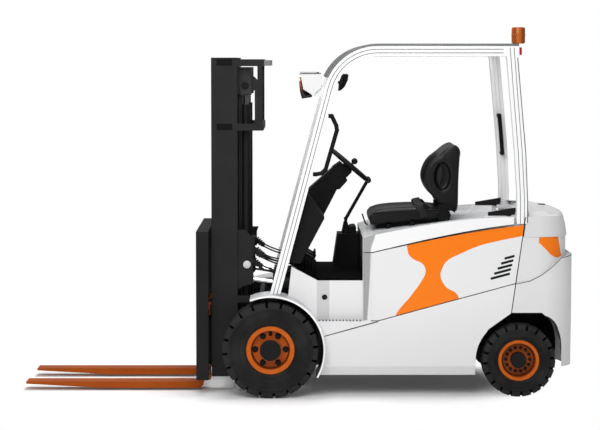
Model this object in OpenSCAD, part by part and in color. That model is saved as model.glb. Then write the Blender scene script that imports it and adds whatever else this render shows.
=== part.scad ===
// Electric counterbalance forklift with a two-stage mast, at full size, in millimetres.
// The forks point along -X, the left side of the truck faces -Y and the ground is z = 0.
// The origin lies on the ground, halfway along the overall length.

/* [Running gear] */
// Distance between the front and rear axles
wheel_base = 1523; // [1450:1:1600]
// Diameter of the front tyres
front_tyre_d = 592; // [580:1:600]
// Width of the front tyres
front_tyre_w = 226; // [200:1:232]
// Distance between the middles of the front tyres
front_track = 960; // [956:1:1000]
// Diameter of the rear tyres
rear_tyre_d = 450; // [440:1:456]
// Width of the rear tyres
rear_tyre_w = 156; // [140:1:160]
// Distance between the middles of the rear tyres
rear_track = 930; // [920:1:940]
// Number of lugs on each shoulder of a tyre
tyre_lugs = 20; // [16:1:22]

/* [Body] */
// Rear axle to the back of the counterweight
rear_overhang = 343; // [330:1:380]
// Width over the side panels
body_w = 1060; // [1040:1:1080]
// Thickness of the side skirts
skirt_t = 60; // [50:1:65]
// Thickness of the side panels and of the hood's sides
panel_t = 30; // [20:1:32]
// Height of the floor under the driver's feet
floor_z = 724; // [716:1:732]
// Gap between neighbouring body panels
panel_gap = 5.5; // [4:0.5:8]

/* [Overhead guard] */
// Inset of the guard's pillars from the body's sides
guard_inset = 5; // [0:1:15]
// Height of the guard's roof rails above the ground
guard_h = 2150; // [2130:1:2180]
// Width of the pillars across the truck
pillar_w = 60; // [50:1:66]
// Thickness of the pillars and roof rails seen from the side
pillar_t = 62; // [54:1:70]
// Number of bars in the roof
roof_bars = 8; // [6:1:10]

/* [Mast and forks] */
// Length of the fork blades in front of their shanks
fork_len = 1070; // [900:10:1220]
// Width of a fork
fork_w = 122; // [100:1:125]
// Thickness of a fork at its heel
fork_t = 40; // [35:1:45]
// Distance between the middles of the forks
fork_spread = 482; // [440:1:540]
// Height of the lowered forks' underside above the ground
fork_clear = 15; // [10:1:40]
// Front axle to the front face of the fork shanks
load_distance = 464; // [460:1:480]
// Height of the lowered mast
mast_h = 2080; // [2040:1:2100]
// Gap between the outer mast and the front tyres
mast_gap = 12; // [12:1:20]
// Depth of the outer mast channels along the truck
mast_d = 162; // [158:1:168]
// Lift of the inner mast, and of the carriage within it
stage_lift = 1500; // [1300:10:1500]
// Width over the carriage and load backrest
carriage_w = 960; // [900:1:1000]
// Height of the top of the load backrest
backrest_top = 1013; // [960:1:1100]

/* [Driver] */
// Diameter of the steering wheel over its rim
wheel_d = 328; // [300:1:334]
// Width of the seat cushion
seat_w = 480; // [440:1:500]

/* [Hidden] */
$fn = 64;

white = [0.93, 0.93, 0.93];
black = [0.12, 0.12, 0.12];
grey = [0.55, 0.56, 0.57];
orange = [0.85, 0.42, 0.12];
steel = [0.72, 0.73, 0.74];
rubber = [0.16, 0.16, 0.16];

// Main places along the truck
overall_len = fork_len + load_distance + wheel_base + rear_overhang;
tip_x = -overall_len / 2;
front_x = tip_x + fork_len + load_distance;
rear_x = front_x + wheel_base;
back_x = rear_x + rear_overhang;
front_z = front_tyre_d / 2;
rear_z = rear_tyre_d / 2;
body_y = body_w / 2;
skirt_y = body_y - skirt_t;
fit = 0.3;

// Solid between two planes across the truck, from an outline of x and z
module slab(y0, y1) {
    translate([0, y1, 0]) rotate([90, 0, 0]) linear_extrude(y1 - y0) children();
}

// Solid between two heights, from an outline of x and y
module layer(z0, z1) {
    translate([0, 0, z0]) linear_extrude(z1 - z0) children();
}

// Solid between two stations along the truck, from an outline of y and z
module station(x0, x1) {
    translate([x0, 0, 0]) rotate([90, 0, 90]) linear_extrude(x1 - x0) children();
}

// A shape and its mirror image on the other side of the truck
module both_sides() {
    children();
    mirror([0, 1, 0]) children();
}

// Round bar across the truck
module cross_bar(x, z, r, y0, y1) {
    translate([x, y0, z]) rotate([-90, 0, 0]) cylinder(r = r, h = y1 - y0);
}

// Box from its two opposite corners
module block(a, b) {
    translate(a) cube(b - a);
}

// Straight round bar between two points
module rod(a, b, r) {
    v = b - a;
    length = norm(v);
    translate(a) rotate([0, acos(v[2] / length), atan2(v[1], v[0])]) cylinder(r = r, h = length);
}

// Points along an arc
function arc(c, r, a0, a1, n = 12) =
    [for (i = [0:n]) c + r * [cos(a0 + (a1 - a0) * i / n), sin(a0 + (a1 - a0) * i / n)]];

// Height on the line through two points
function on_line(p, q, x) = p[1] + (q[1] - p[1]) * (x - p[0]) / (q[0] - p[0]);

mast_y = front_track / 2 - front_tyre_w / 2 - mast_gap;

// Body lines
skirt_low = 132;
bevel_top = 190;
step_z = 468;
fender_gap = 25;
fender_t = 15;
fender_r = front_z + fender_gap + fender_t;
fender_in_y = mast_y + 10;
arch_r = rear_z + 40;
arch_top = rear_z + 295;
cavity_y = body_y - 35;
post_x = front_x + 566;
toe_x = front_x + 290;
panel_x = front_x + 622;
hood_pivot = [rear_x - 31, 1100];
skirt_line = [[front_x + 325, 376], [rear_x - 30, 697]];
seam_foot = [rear_x - 44, arch_top];
seam_slope = 0.139;
kingpin_y = rear_track / 2 - 100;
function seam_x(z) = seam_foot[0] + (z - seam_foot[1]) * seam_slope;
function panel_top(u) = 893 + 171 * (0.6 * u + 0.4 * sin(90 * u));
function hood_top(u) = 1001 + 107 * sin(90 * u);
curve_steps = 10;

// Guard lines: the front pillar leans back and bends into the roof rail
guard_y = body_y - guard_inset;
pillar_in_y = guard_y - pillar_w;
pillar_lean = 14.9;
pillar_foot = [front_x + 28, fender_r + front_z + fit];
bend_r = 330;
bend_z = guard_h - bend_r;
pillar_dir = [sin(pillar_lean), cos(pillar_lean)];
pillar_out = [-cos(pillar_lean), sin(pillar_lean)];
bend_rise = (bend_z - pillar_foot[1] + (bend_r - pillar_t / 2) * pillar_out[1]) / pillar_dir[1];
bend_c = pillar_foot + pillar_dir * bend_rise - pillar_out * (bend_r - pillar_t / 2);
rail_end = rear_x - 10;
function pillar_x(z, side) =
    pillar_foot[0] + (z - pillar_foot[1]) * tan(pillar_lean) + side * pillar_t / 2 / cos(pillar_lean);
rear_foot = 1066;
rear_head = guard_h - 40;
function rear_z_at(share) = rear_foot + share * (rear_head - rear_foot);

// Mast lines
mast_x0 = front_x - 368;
mast_x1 = mast_x0 + mast_d;
mast_low = 97;
web_t = 14;
flange_t = 20;
flange_w = 60;
inner_x0 = mast_x0 + flange_t + 6;
inner_x1 = mast_x1 - flange_t - 6;
inner_flange = 18;
inner_y0 = mast_y - 129;
inner_y1 = mast_y - 20;
inner_web = inner_y0 + 40;
lift_x = mast_x1 + 50;
lift_y = mast_y - 105;
lift_r = 29;
rod_r = 19;
head_z = 1850;
sheave_r = 50;
sheave_c = [mast_x1 + 62, 1908];
chain_y = inner_y0 - 31;
chain_w = 16;
chain_t = 14;
anchor_z = 1700;
carriage_anchor = 310;
tie_back = mast_x1 + 161;
tie_h = 43;
tie_z = [560, mast_h - 451, mast_h - 53];
tilt_pin = [front_x - 134, 705];
tilt_base = [front_x + 256, 645];
tilt_y = mast_y - 42;
tilt_r = 38;
axle_r = 70;
fork_face = front_x - load_distance;
fork_back = fork_face + fork_t;
bar_x0 = fork_back + fit;
bar_x1 = bar_x0 + 30;
low_bar = [100, 170];
high_bar = [436, 505];
side_y = carriage_w / 2;
side_t = 15;

// Steering wheel and column
wheel_c = [front_x + 498, 1396.4];
wheel_tilt = 40.3;
rim_r = 13;

// Side frame with its sill, battery box, floor beams and the fixed front posts
module skirt_outline() {
    difference() {
        polygon([
            [front_x + 200, skirt_low], [rear_x - arch_r, skirt_low], [seam_foot[0] - panel_gap, rear_z],
            [seam_foot[0] - panel_gap, arch_top],
            [seam_x(skirt_line[1][1]) - panel_gap, skirt_line[1][1]],
            [skirt_line[0][0] + 335, step_z], [front_x + 200, step_z]
        ]);
        translate([front_x, front_z]) circle(r = fender_r + fit);
        translate([rear_x, rear_z]) rear_arch();
    }
}

module rear_arch() {
    circle(r = arch_r);
    polygon([
        [-arch_r, -rear_z], [-arch_r, 0], [-arch_r * 0.72, arch_r * 0.72], [-45, arch_top - rear_z],
        [140, arch_top - rear_z], [arch_r * 0.83, arch_r * 0.83], [arch_r * 0.97, arch_r * 0.45],
        [arch_r, 0], [arch_r, -rear_z]
    ]);
}

module entry_side() {
    difference() {
        polygon([
            [front_x + 108, front_z], [front_x + 108, 615], [front_x + 128, floor_z + 74],
            [toe_x, floor_z - 12], [post_x, floor_z - 12], [post_x, step_z - 60],
            [front_x + 320, step_z - 60]
        ]);
        translate([front_x, front_z]) circle(r = fender_r + fit);
    }
}

// Plan of the rounded entry post; the hood carries its top
module post_plan(x_end, y_in) {
    post_r = 25;
    translate([post_x + post_r, body_y - post_r]) circle(r = post_r);
    translate([post_x, y_in]) square([x_end - post_x, body_y - post_r - y_in]);
    translate([post_x + post_r, y_in]) square([x_end - post_x - post_r, body_y - y_in]);
}

module beam_outline() {
    difference() {
        polygon([
            [front_x - 60, front_z], [front_x - 60, front_z + 160], [front_x + 90, floor_z - 40],
            [toe_x, floor_z - 13], [post_x, floor_z - 13], [post_x, 150], [front_x + 215, 150],
            [front_x + 120, front_z]
        ]);
        translate([front_x, front_z]) circle(r = axle_r);
    }
}

module chassis_frame() {
    wall = 15;
    wall_x = rear_x - 312;
    deck_low = arch_top + 5;
    color(white) {
        both_sides() difference() {
            intersection() {
                slab(skirt_y, body_y) skirt_outline();
                station(front_x, rear_x) polygon([
                    [skirt_y, skirt_low], [body_y - 30, skirt_low], [body_y, bevel_top],
                    [body_y, arch_top * 2], [skirt_y, arch_top * 2]
                ]);
            }
            slab(body_y - 4, body_y + 1) polygon([
                skirt_line[0], skirt_line[0] - [0, 5], [skirt_line[0][0] + 335, step_z - 5],
                [skirt_line[0][0] + 335, step_z + 1], [skirt_line[0][0] + 330, step_z + 1]
            ]);
        }
        both_sides() cross_bar(front_x + 332, 610, 16, skirt_y - 1, skirt_y + 6);
        both_sides() slab(skirt_y - wall, skirt_y) entry_side();
        both_sides() block([panel_x + 4, skirt_y, step_z - 5], [panel_x + 34, body_y - panel_t, 760]);
        both_sides() block([wall_x - 40, skirt_y, 560], [wall_x - 10, body_y - panel_t, 860]);
        both_sides() layer(step_z, panel_top(0) - panel_gap) post_plan(panel_x - panel_gap, skirt_y);
    }
    color(black) {
        block([post_x, -skirt_y, 150], [post_x + wall, skirt_y, 975]);
        block([post_x + wall, -skirt_y, 150], [wall_x, skirt_y, 150 + wall]);
        block([wall_x - wall, -skirt_y, 150 + wall], [wall_x, skirt_y, 975]);
        slab(-skirt_y, skirt_y) polygon([
            [wall_x, deck_low], [seam_x(deck_low), deck_low], [seam_x(deck_low + wall), deck_low + wall],
            [wall_x, deck_low + wall]
        ]);
        slab(-12, 12) polygon([
            [wall_x, 150], [rear_x - 150, 150], [rear_x - 60, 300], [rear_x - 60, deck_low],
            [wall_x, deck_low]
        ]);
        both_sides() slab(tilt_y - 88, tilt_y - 68) beam_outline();
        for (y = [tilt_y - 43, tilt_y + 25])
            both_sides() slab(y, y + 14) tilt_lug();
        both_sides() cross_bar(tilt_base[0], tilt_base[1], 18, tilt_y - 40, tilt_y + 35);
        block([tilt_base[0] + 60, -skirt_y, 600], [tilt_base[0] + 80, skirt_y, 690]);
    }
}

module tilt_lug() {
    translate(tilt_base) circle(r = 34);
    polygon([
        tilt_base + [-10, -32], tilt_base + [10, 32], [tilt_base[0] + 100, floor_z - 34],
        [tilt_base[0] + 100, 600]
    ]);
}

// Front wheel arches
module front_fenders() {
    reach = fender_r * 3;
    color(white) both_sides() slab(fender_in_y, front_track / 2 + front_tyre_w / 2) {
        translate([front_x, front_z]) intersection() {
            difference() {
                circle(r = fender_r);
                circle(r = fender_r - fender_t);
            }
            polygon([[0, 0], reach * [cos(-30), sin(-30)], [reach, 0], [reach, reach],
                [0, reach], reach * [cos(112), sin(112)]]);
        }
    }
}

// Floor with the toe board sloping up to the cowl
module floor_plate() {
    t = 12;
    ribs = 7;
    slope = (toe_x - front_x - 140) / ribs;
    color(black) {
        slab(-skirt_y + 6, skirt_y - 6) polygon([
            [post_x - 1, floor_z], [toe_x + 6, floor_z], [front_x + 140, floor_z + 85],
            [front_x + 140, floor_z + 90], [front_x + 118, floor_z + 90], [toe_x, floor_z - t],
            [post_x - 1, floor_z - t]
        ]);
        for (i = [0:ribs - 1])
            translate([toe_x + 6 - slope * (i + 0.7), 0, floor_z + 85 * (i + 0.7) / ribs])
                rotate([0, atan2(85, toe_x + 6 - front_x - 140), 0])
                    block([-5, -skirt_y + 10, -3], [5, skirt_y - 10, 7]);
    }
}

// Dash across the truck and the steering column's cover
module front_cowl() {
    foot = floor_z + 90 + fit;
    color(black) {
        slab(-pillar_in_y + 14, pillar_in_y - 14) polygon([
            [front_x + 116, foot], [front_x + 186, foot], [front_x + 215, 873],
            [front_x + 332, 1094], [front_x + 216, 1255], [front_x + 202, 1240]
        ]);
        slab(-75, 75) polygon([
            [front_x + 214, 1228], [front_x + 381, 1375], [front_x + 390, 1388],
            [front_x + 435, 1420], [front_x + 512, 1356], [front_x + 474, 1317],
            [front_x + 483, 1301], [front_x + 435, 1247], [front_x + 416, 1244],
            [front_x + 332, 1080], [front_x + 240, 1080]
        ]);
    }
}

// Side covers over the battery, with the vent slots
module side_panels() {
    slots = 5;
    slot = [116, 9];
    slot_lean = 15;
    top = [for (i = [0:curve_steps])
        let (u = i / curve_steps)
        [panel_x + (seam_x(1064) - panel_gap - panel_x) * u, panel_top(u) - panel_gap]];
    color(white) both_sides() difference() {
        slab(body_y - panel_t, body_y) polygon(concat(top, [
            [seam_x(skirt_line[1][1]) - panel_gap, skirt_line[1][1] + panel_gap],
            [skirt_line[0][0] + 335, step_z + panel_gap], [panel_x, step_z + panel_gap]
        ]));
        for (i = [0:slots - 1])
            translate([rear_x - 175 + i * 21, body_y - panel_t - 1, 727 + i * 31])
                rotate([0, -slot_lean, 0]) cube([slot[0] - i * 14, panel_t + 2, slot[1]]);
    }
}

// Cast counterweight over the steered axle, with a belt line where its upper part steps in
belt_in = 38;
belt = [[seam_x(697), 697], [rear_x + 65, 715], [rear_x + 135, 750], [rear_x + 200, 800],
    [rear_x + 260, 855], [back_x, 865]];
wheel_sweep = 294;

module back_plan(x_back, r, side = body_y) {
    translate([front_x, r - side]) square([x_back - front_x, 2 * side - 2 * r]);
    translate([front_x, -side]) square([x_back - r - front_x, 2 * side]);
    for (s = [-1, 1])
        translate([x_back - r, s * (side - r)]) circle(r = r);
}

module counterweight() {
    top = 985;
    low = 185;
    color(white) difference() {
        union() {
            intersection() {
                slab(-body_y, body_y) polygon(concat(belt, [
                    [back_x - 3, belt[len(belt) - 1][1] - 40], [back_x, 560], [back_x - 10, low],
                    [seam_x(low), low], seam_foot
                ]));
                layer(0, guard_h) back_plan(back_x, 180);
            }
            intersection() {
                slab(-body_y, body_y) polygon(concat(belt, [[back_x - 40, top], [seam_x(top), top]]));
                layer(0, guard_h) back_plan(back_x - belt_in, 190, body_y - 4);
            }
        }
        both_sides() slab(skirt_y - 20, body_y + 1) translate([rear_x, rear_z]) rear_arch();
        both_sides() intersection() {
            translate([rear_x, kingpin_y, 0]) cylinder(r = wheel_sweep, h = arch_top - 8);
            block([front_x, 0, 0], [back_x, cavity_y, arch_top]);
        }
        block([front_x, -kingpin_y, 0], [rear_x + 70, kingpin_y, arch_top]);
        tow_pocket();
    }
}

// Pocket for a towing eye, with a pin bore that is reached from a recess above it
module tow_pocket() {
    pocket = [375, 465];
    recess = [500, 700];
    depth = 90;
    block([back_x - depth, -60, pocket[0]], [back_x + 1, 60, pocket[1]]);
    block([back_x - depth, -45, recess[0]], [back_x + 1, 45, recess[1]]);
    translate([back_x - depth / 2, 0, 0]) cylinder(d = 36, h = recess[0] + 1);
}

// Rounded cover on top of the counterweight
module rear_cover() {
    low = 985;
    high = 1110;
    round_r = 60;
    color(white) difference() {
        cover_body(low, high, round_r);
        both_sides() block([front_x, pillar_in_y - 1, rear_foot], [rear_x + 50, body_y + 1, guard_h]);
    }
    color(white) both_sides() {
        for (y = [hinge_y - 10, hinge_y + hinge_t + 5])
            slab(y, y + 5) {
                translate(hood_pivot) circle(r = 12);
                translate(hood_pivot - [0, 12]) square([seam_x(1100) + 20 - hood_pivot[0], 24]);
            }
        cross_bar(hood_pivot[0], hood_pivot[1], hinge_pin, hinge_y - 10, hinge_y + hinge_t + 10);
    }
}

module cover_body(low, high, round_r) {
    intersection() {
        slab(-body_y, body_y) {
            translate([back_x - 50 - round_r, high - round_r]) circle(r = round_r);
            polygon([
                [seam_x(low) + panel_gap, low], [seam_x(high) + panel_gap, high],
                [back_x - 50 - round_r, high], [back_x - 50, high - round_r], [back_x - 32, low]
            ]);
        }
        layer(0, guard_h) back_plan(back_x - 32, 190);
    }
}

// Pillars and roof rails of the overhead guard
module guard_strip(r0, r1, x_end) {
    foot_out = pillar_foot + pillar_out * (r1 - bend_r + pillar_t / 2);
    foot_in = pillar_foot + pillar_out * (r0 - bend_r + pillar_t / 2);
    polygon(concat(
        [[foot_in[0] - (foot_in[1] - pillar_foot[1]) * tan(pillar_lean), pillar_foot[1]],
            [foot_out[0] - (foot_out[1] - pillar_foot[1]) * tan(pillar_lean), pillar_foot[1]]],
        arc(bend_c, r1, 180 - pillar_lean, 90),
        [[x_end, bend_c[1] + r1], [x_end, bend_c[1] + r0]],
        arc(bend_c, r0, 90, 180 - pillar_lean)
    ));
}

module rear_pillar() {
    polygon([
        [rear_x - 88, rear_head], [rear_x - 61, rear_z_at(0.72)], [rear_x - 33, rear_z_at(0.42)],
        [rear_x - 17, rear_z_at(0.18)], [rear_x - 17, rear_foot], [rear_x + 50, rear_foot],
        [rear_x + 50, rear_z_at(0.13)], [rear_x + 36, rear_z_at(0.42)], [rear_x + 7, rear_z_at(0.72)],
        [rear_x - 20, rear_head]
    ]);
}

module rear_groove(x) {
    w = 4;
    polygon([
        [rear_x - 54 + x, rear_head + 30], [rear_x - 27 + x, rear_z_at(0.72)], [rear_x + x, rear_z_at(0.42)],
        [rear_x + 16 + x, rear_z_at(0.15)], [rear_x + 16 + x, rear_foot - 1],
        [rear_x + 16 + w + x, rear_foot - 1], [rear_x + 16 + w + x, rear_z_at(0.15)],
        [rear_x + w + x, rear_z_at(0.42)], [rear_x - 27 + w + x, rear_z_at(0.72)],
        [rear_x - 54 + w + x, rear_head + 30]
    ]);
}

module overhead_guard() {
    groove_t = 3;
    color(white) {
        both_sides() difference() {
            slab(pillar_in_y, guard_y) {
                guard_strip(bend_r - pillar_t, bend_r, rail_end);
                rear_pillar();
            }
            for (y = [pillar_in_y - 1, guard_y - groove_t])
                slab(y, y + groove_t + 1) {
                    for (d = [18, 40])
                        guard_strip(bend_r - d - 4, bend_r - d, rail_end - 95);
                    for (x = [-14, 10])
                        rear_groove(x);
                }
        }
        block([bend_c[0], -pillar_in_y, guard_h - pillar_t],
            [bend_c[0] + 60, pillar_in_y, guard_h]);
        block([rail_end - 70, -pillar_in_y, guard_h - pillar_t], [rail_end, pillar_in_y, guard_h]);
    }
}

// Roof bars, bent down at the front like the pillars
module roof_bars() {
    bar_w = 36;
    t = 15;
    span = 2 * guard_y - 30 - bar_w;
    color(grey) for (i = [0:roof_bars - 1])
        translate([0, -span / 2 - bar_w / 2 + span * i / (roof_bars - 1), 0])
            slab(0, bar_w) difference() {
                guard_strip(bend_r, bend_r + t, rail_end);
                translate([front_x - 500, 0]) square([1200, bend_c[1] + bend_r * 0.42]);
            }
}

// Console with three hydraulic levers beside the driver's right knee
console_y = skirt_y - 120;
console_z = 930;
lever_gap = 50;

module lever_console() {
    boot = [front_x + 483, console_y];
    color(black) {
        slab(console_y - 100, console_y + 100) polygon([
            [front_x + 397, floor_z], [front_x + 427, console_z], [post_x - 2, console_z],
            [post_x - 2, floor_z]
        ]);
        for (dy = lever_gap * [-1, 0, 1])
            translate([boot[0], boot[1] + dy, console_z - 1]) cylinder(r1 = 27, r2 = 13, h = 70);
    }
}

module control_levers() {
    foot = [front_x + 483, console_z + 69 + fit];
    knob = [front_x + 629, 1278];
    color(black) for (dy = lever_gap * [-1, 0, 1]) {
        y = console_y + dy;
        rod([foot[0], y, foot[1]], [foot[0], y, foot[1] + 20], 9);
        translate([foot[0], y, foot[1] + 20]) sphere(r = 11);
        rod([foot[0], y, foot[1] + 20], [knob[0], y, knob[1]], 8);
        translate([knob[0], y, knob[1]]) sphere(r = 20);
    }
}

module pedals() {
    color(black) for (y = [-150, 20, 160])
        slab(y - 38, y + 38) polygon([
            [front_x + 200, 838], [front_x + 272, 806], [front_x + 284, 836], [front_x + 276, 842],
            [front_x + 268, 822], [front_x + 208, 858]
        ]);
}

// Bent tube through points, with a ball in each bend
module tube(points, r) {
    for (i = [1:len(points) - 1])
        rod(points[i - 1], points[i], r);
    for (i = [1:len(points) - 2])
        translate(points[i]) sphere(r = r + 1);
}

// Handle on the left front pillar and on the right rear pillar
module grab_handles() {
    tube_r = 13;
    top = guard_h - 426;
    y_front = -guard_y + pillar_w / 2;
    y_rear = pillar_in_y - 60;
    // height below the top of the handle, and distance behind the pillar
    bends = [[0, 24], [56, 66], [86, 79], [326, 74], [350, 56], [356, 24]];
    color(black) {
        tube(concat(
            [[pillar_x(top + tube_r, 1) + fit, y_front, top]],
            [for (b = bends) [pillar_x(top - b[0], 1) + b[1], y_front, top - b[0]]],
            [[pillar_x(top - 356 + tube_r, 1) + fit, y_front, top - 356]]
        ), tube_r);
        tube([
            [rear_x - 2, pillar_in_y - fit, top - 274], [rear_x - 2, y_rear, top - 274],
            [rear_x - 24, y_rear, top - 24], [rear_x - 24, pillar_in_y - fit, top - 24]
        ], tube_r);
    }
}

module headlights() {
    lamp_z = guard_h - 250;
    lamp = [pillar_x(lamp_z, -1), lamp_z];
    color(white) both_sides() slab(pillar_in_y - 55, guard_y - 5) polygon([
        lamp + [-149, -20], lamp + [-137, -66], lamp + [-81, -56], lamp + [-20, 0], lamp + [-20, 60],
        lamp + [-45, 84], lamp + [-149, 84]
    ]);
    color(black) both_sides() slab(pillar_in_y + 10, pillar_in_y + 40) polygon([
        lamp + [-68, -52], [pillar_x(lamp_z - 60, -1) - fit, lamp_z - 60], lamp - [fit, 0], lamp + [-28, 0]
    ]);
}

module beacon() {
    color(orange) translate([rear_x - 12, -guard_y + 45, guard_h + 15]) {
        cylinder(r = 42, h = 20);
        cylinder(r = 36, h = 92);
        translate([0, 0, 92]) cylinder(r1 = 36, r2 = 26, h = 8);
    }
}

module rear_lamps() {
    color([0.7, 0.1, 0.08]) both_sides()
        block([rail_end, pillar_in_y + 6, guard_h - 54], [rail_end + 16, guard_y - 6, guard_h - 8]);
}

// Mirror on a stub behind the left pillar's bend
module view_mirror() {
    hold = bend_c + (bend_r - pillar_t) * [cos(155), sin(155)];
    y_stub = -pillar_in_y - 12;
    color(black) {
        slab(-pillar_in_y - 50, -pillar_in_y + 90) polygon([
            hold + [40, 44], hold + [58, 48], hold + [62, 30], hold + [38, -36], hold + [18, -52],
            hold + [14, -40]
        ]);
        rod([hold[0] + 2, y_stub, hold[1] - 4], [hold[0] + 36, y_stub, hold[1] - 8], 8);
    }
}

module battery_block() {
    color(grey) block([post_x + 30, -skirt_y + 20, 165], [rear_x - 340, skirt_y - 20, 930]);
}

// Driven front axle with its gearbox and motor
front_spindle = 60;
front_flange_y = fender_in_y;

module drive_axle() {
    color(black) {
        cross_bar(front_x, front_z, axle_r, -front_flange_y + 12, front_flange_y - 12);
        both_sides() cross_bar(front_x, front_z, 95, front_flange_y - 12, front_flange_y + 6);
        both_sides() cross_bar(front_x, front_z, front_spindle, front_flange_y,
            front_track / 2 + front_tyre_w / 2 - 40);
        cross_bar(front_x, front_z, 130, -150, 150);
        translate([front_x + 60, 0, front_z]) rotate([0, 90, 0]) cylinder(r = 115, h = 320);
    }
}

// Steered rear axle: a beam with a fork for the kingpin at each end
kingpin_r = 22;
rear_spindle = 30;

module steer_axle() {
    fork_t = 24;
    color(black) {
        block([rear_x - 55, -250, rear_z - 50], [rear_x + 55, 250, rear_z + 50]);
        both_sides() difference() {
            union() {
                block([rear_x - 36, 240, rear_z - 62], [rear_x + 36, kingpin_y, rear_z + 62]);
                translate([rear_x, kingpin_y, rear_z - 62]) cylinder(r = 36, h = 124);
            }
            block([rear_x - 40, kingpin_y - 46, rear_z - 62 + fork_t],
                [rear_x + 40, kingpin_y + 40, rear_z + 62 - fork_t]);
            translate([rear_x, kingpin_y, rear_z - 63]) cylinder(r = kingpin_r + fit, h = 126);
        }
        block([rear_x - 40, -150, rear_z + 50], [rear_x + 40, 150, arch_top]);
    }
}

module knuckle() {
    color(black) {
        translate([rear_x, -kingpin_y, rear_z - 70]) cylinder(r = kingpin_r, h = 140);
        translate([rear_x, -kingpin_y, rear_z - 32]) cylinder(r = 38, h = 64);
        cross_bar(rear_x, rear_z, rear_spindle, -rear_track / 2 - 20, -kingpin_y);
    }
}

module knuckle_left() {
    knuckle();
}

module knuckle_right() {
    mirror([0, 1, 0]) knuckle();
}

// Solid tyres with lugs cut into both shoulders, half a lug apart
module tyre(d, w, bead, x, y) {
    r = d / 2;
    h = w / 2;
    pitch = 360 / tyre_lugs;
    groove = [15, 0.4 * w, 34];
    color(rubber) translate([x, y, r]) difference() {
        rotate([90, 0, 0]) rotate_extrude($fn = wheel_fn) polygon([
            [bead, -h + 14], [bead + 18, -h + 3], [r - 44, -h], [r - 6, -h + 10], [r, -h + 22],
            [r, h - 22], [r - 6, h - 10], [r - 44, h], [bead + 18, h - 3], [bead, h - 14]
        ]);
        for (i = [0:tyre_lugs - 1], side = [-1, 1])
            rotate([0, (i + side / 4) * pitch, 0])
                translate([-groove[0] / 2, side * h - (side + 1) / 2 * groove[1], r - groove[2]])
                    cube(groove + [0, 0, 5]);
    }
}

front_bead = 150;
rear_bead = 128;
wheel_fn = 32;

module front_tyre_left() {
    tyre(front_tyre_d, front_tyre_w, front_bead, front_x, -front_track / 2);
}

module front_tyre_right() {
    tyre(front_tyre_d, front_tyre_w, front_bead, front_x, front_track / 2);
}

module rear_tyre_left() {
    tyre(rear_tyre_d, rear_tyre_w, rear_bead, rear_x, -rear_track / 2);
}

module rear_tyre_right() {
    tyre(rear_tyre_d, rear_tyre_w, rear_bead, rear_x, rear_track / 2);
}

// Dished rims with a hub cap and a ring of nuts; the outer side faces -Y
module rim(w, bead, bore, dish_r, cap_r, nuts, nut_r, nut_d) {
    h = w / 2;
    disc = h - 62;
    rotate([90, 0, 0]) {
        color(orange) rotate_extrude($fn = wheel_fn) polygon([
            [bore, disc - 22], [bore, disc], [dish_r - 8, disc], [dish_r, h - 16],
            [bead - 4, h - 12], [bead - fit, h - 20], [bead - fit, -h + 20], [bead - 4, -h + 12],
            [dish_r + 6, -h + 16], [dish_r - 2, disc - 22]
        ]);
        color(black) translate([0, 0, disc - 1]) difference() {
            cylinder(r = cap_r, h = 51);
            translate([0, 0, -1]) cylinder(r = bore, h = 31);
        }
        color(black) for (i = [0:nuts - 1])
            rotate(i * 360 / nuts) translate([nut_r, 0, disc - 1]) cylinder(d = nut_d, h = 15, $fn = 6);
    }
}

module front_rim() {
    rim(front_tyre_w, front_bead, front_spindle + fit, 120, 60 + 8, 6, 93, 26);
}

module rear_rim() {
    rim(rear_tyre_w, rear_bead, rear_spindle + fit, 106, 47, 14, 74, 16);
}

module front_rim_left() {
    translate([front_x, -front_track / 2, front_z]) front_rim();
}

module front_rim_right() {
    translate([front_x, front_track / 2, front_z]) mirror([0, 1, 0]) front_rim();
}

module rear_rim_left() {
    translate([rear_x, -rear_track / 2, rear_z]) rear_rim();
}

module rear_rim_right() {
    translate([rear_x, rear_track / 2, rear_z]) mirror([0, 1, 0]) rear_rim();
}

// Hinged hood that carries the seat; its deck is sunk between the side rails
hinge_y = body_y - 138;
hinge_t = 20;
hinge_r = 14;
hinge_pin = 8;
hood_x = front_x + 643;
hood_end = hood_pivot[0] - 4;
deck_front = [hood_x, 1000];
deck_back = [rear_x - 371, 1060];
deck_t = 25;
deck_end = 1075;
function deck_z(x) = on_line(deck_back, [hood_end, deck_end], x);

module hood() {
    rail = 70;
    post_end = hood_x + 12;
    low = [for (i = [curve_steps:-1:0])
        let (u = i / curve_steps)
        [panel_x + (hood_end - panel_x) * u, panel_top(u)]];
    top = [for (i = [0:curve_steps])
        let (u = i / curve_steps) [hood_x + (hood_end - hood_x) * u, hood_top(u)]];
    color(white) {
        difference() {
            slab(-body_y, body_y) polygon(concat(top, low));
            slab(-body_y + panel_t, body_y - panel_t) polygon([
                [front_x, 0], [front_x, deck_front[1] - 3], deck_front - [0, 3], deck_front + [14, -deck_t],
                deck_back - [0, deck_t], [hood_end + 1, 1050], [hood_end + 1, 0]
            ]);
            slab(-body_y + rail, body_y - rail) polygon([
                deck_front - [60, 0], deck_front, deck_back, [hood_end, deck_end],
                [hood_end + 1, deck_end], [hood_end + 1, guard_h], [front_x, guard_h]
            ]);
        }
        both_sides() intersection() {
            layer(panel_top(0), deck_front[1]) post_plan(post_end, skirt_y + panel_gap);
            slab(0, body_y) polygon([
                [post_x, 0], [post_x, deck_front[1] - 22], [hood_x, deck_front[1] + 1],
                [post_end, deck_front[1] + 1], [post_end, panel_top(0) + 30],
                [panel_x, panel_top(0)], [panel_x, 0]
            ]);
        }
        both_sides() slab(hinge_y - 14, hinge_y + hinge_t + 14) polygon([
            [hood_pivot[0] - 200, deck_z(hood_pivot[0] - 200) - 2], hood_pivot + [-160, plinth_h],
            hood_pivot + [-42, plinth_h], [hood_pivot[0] - 42, deck_z(hood_pivot[0] - 42) - 2]
        ]);
    }
}

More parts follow.
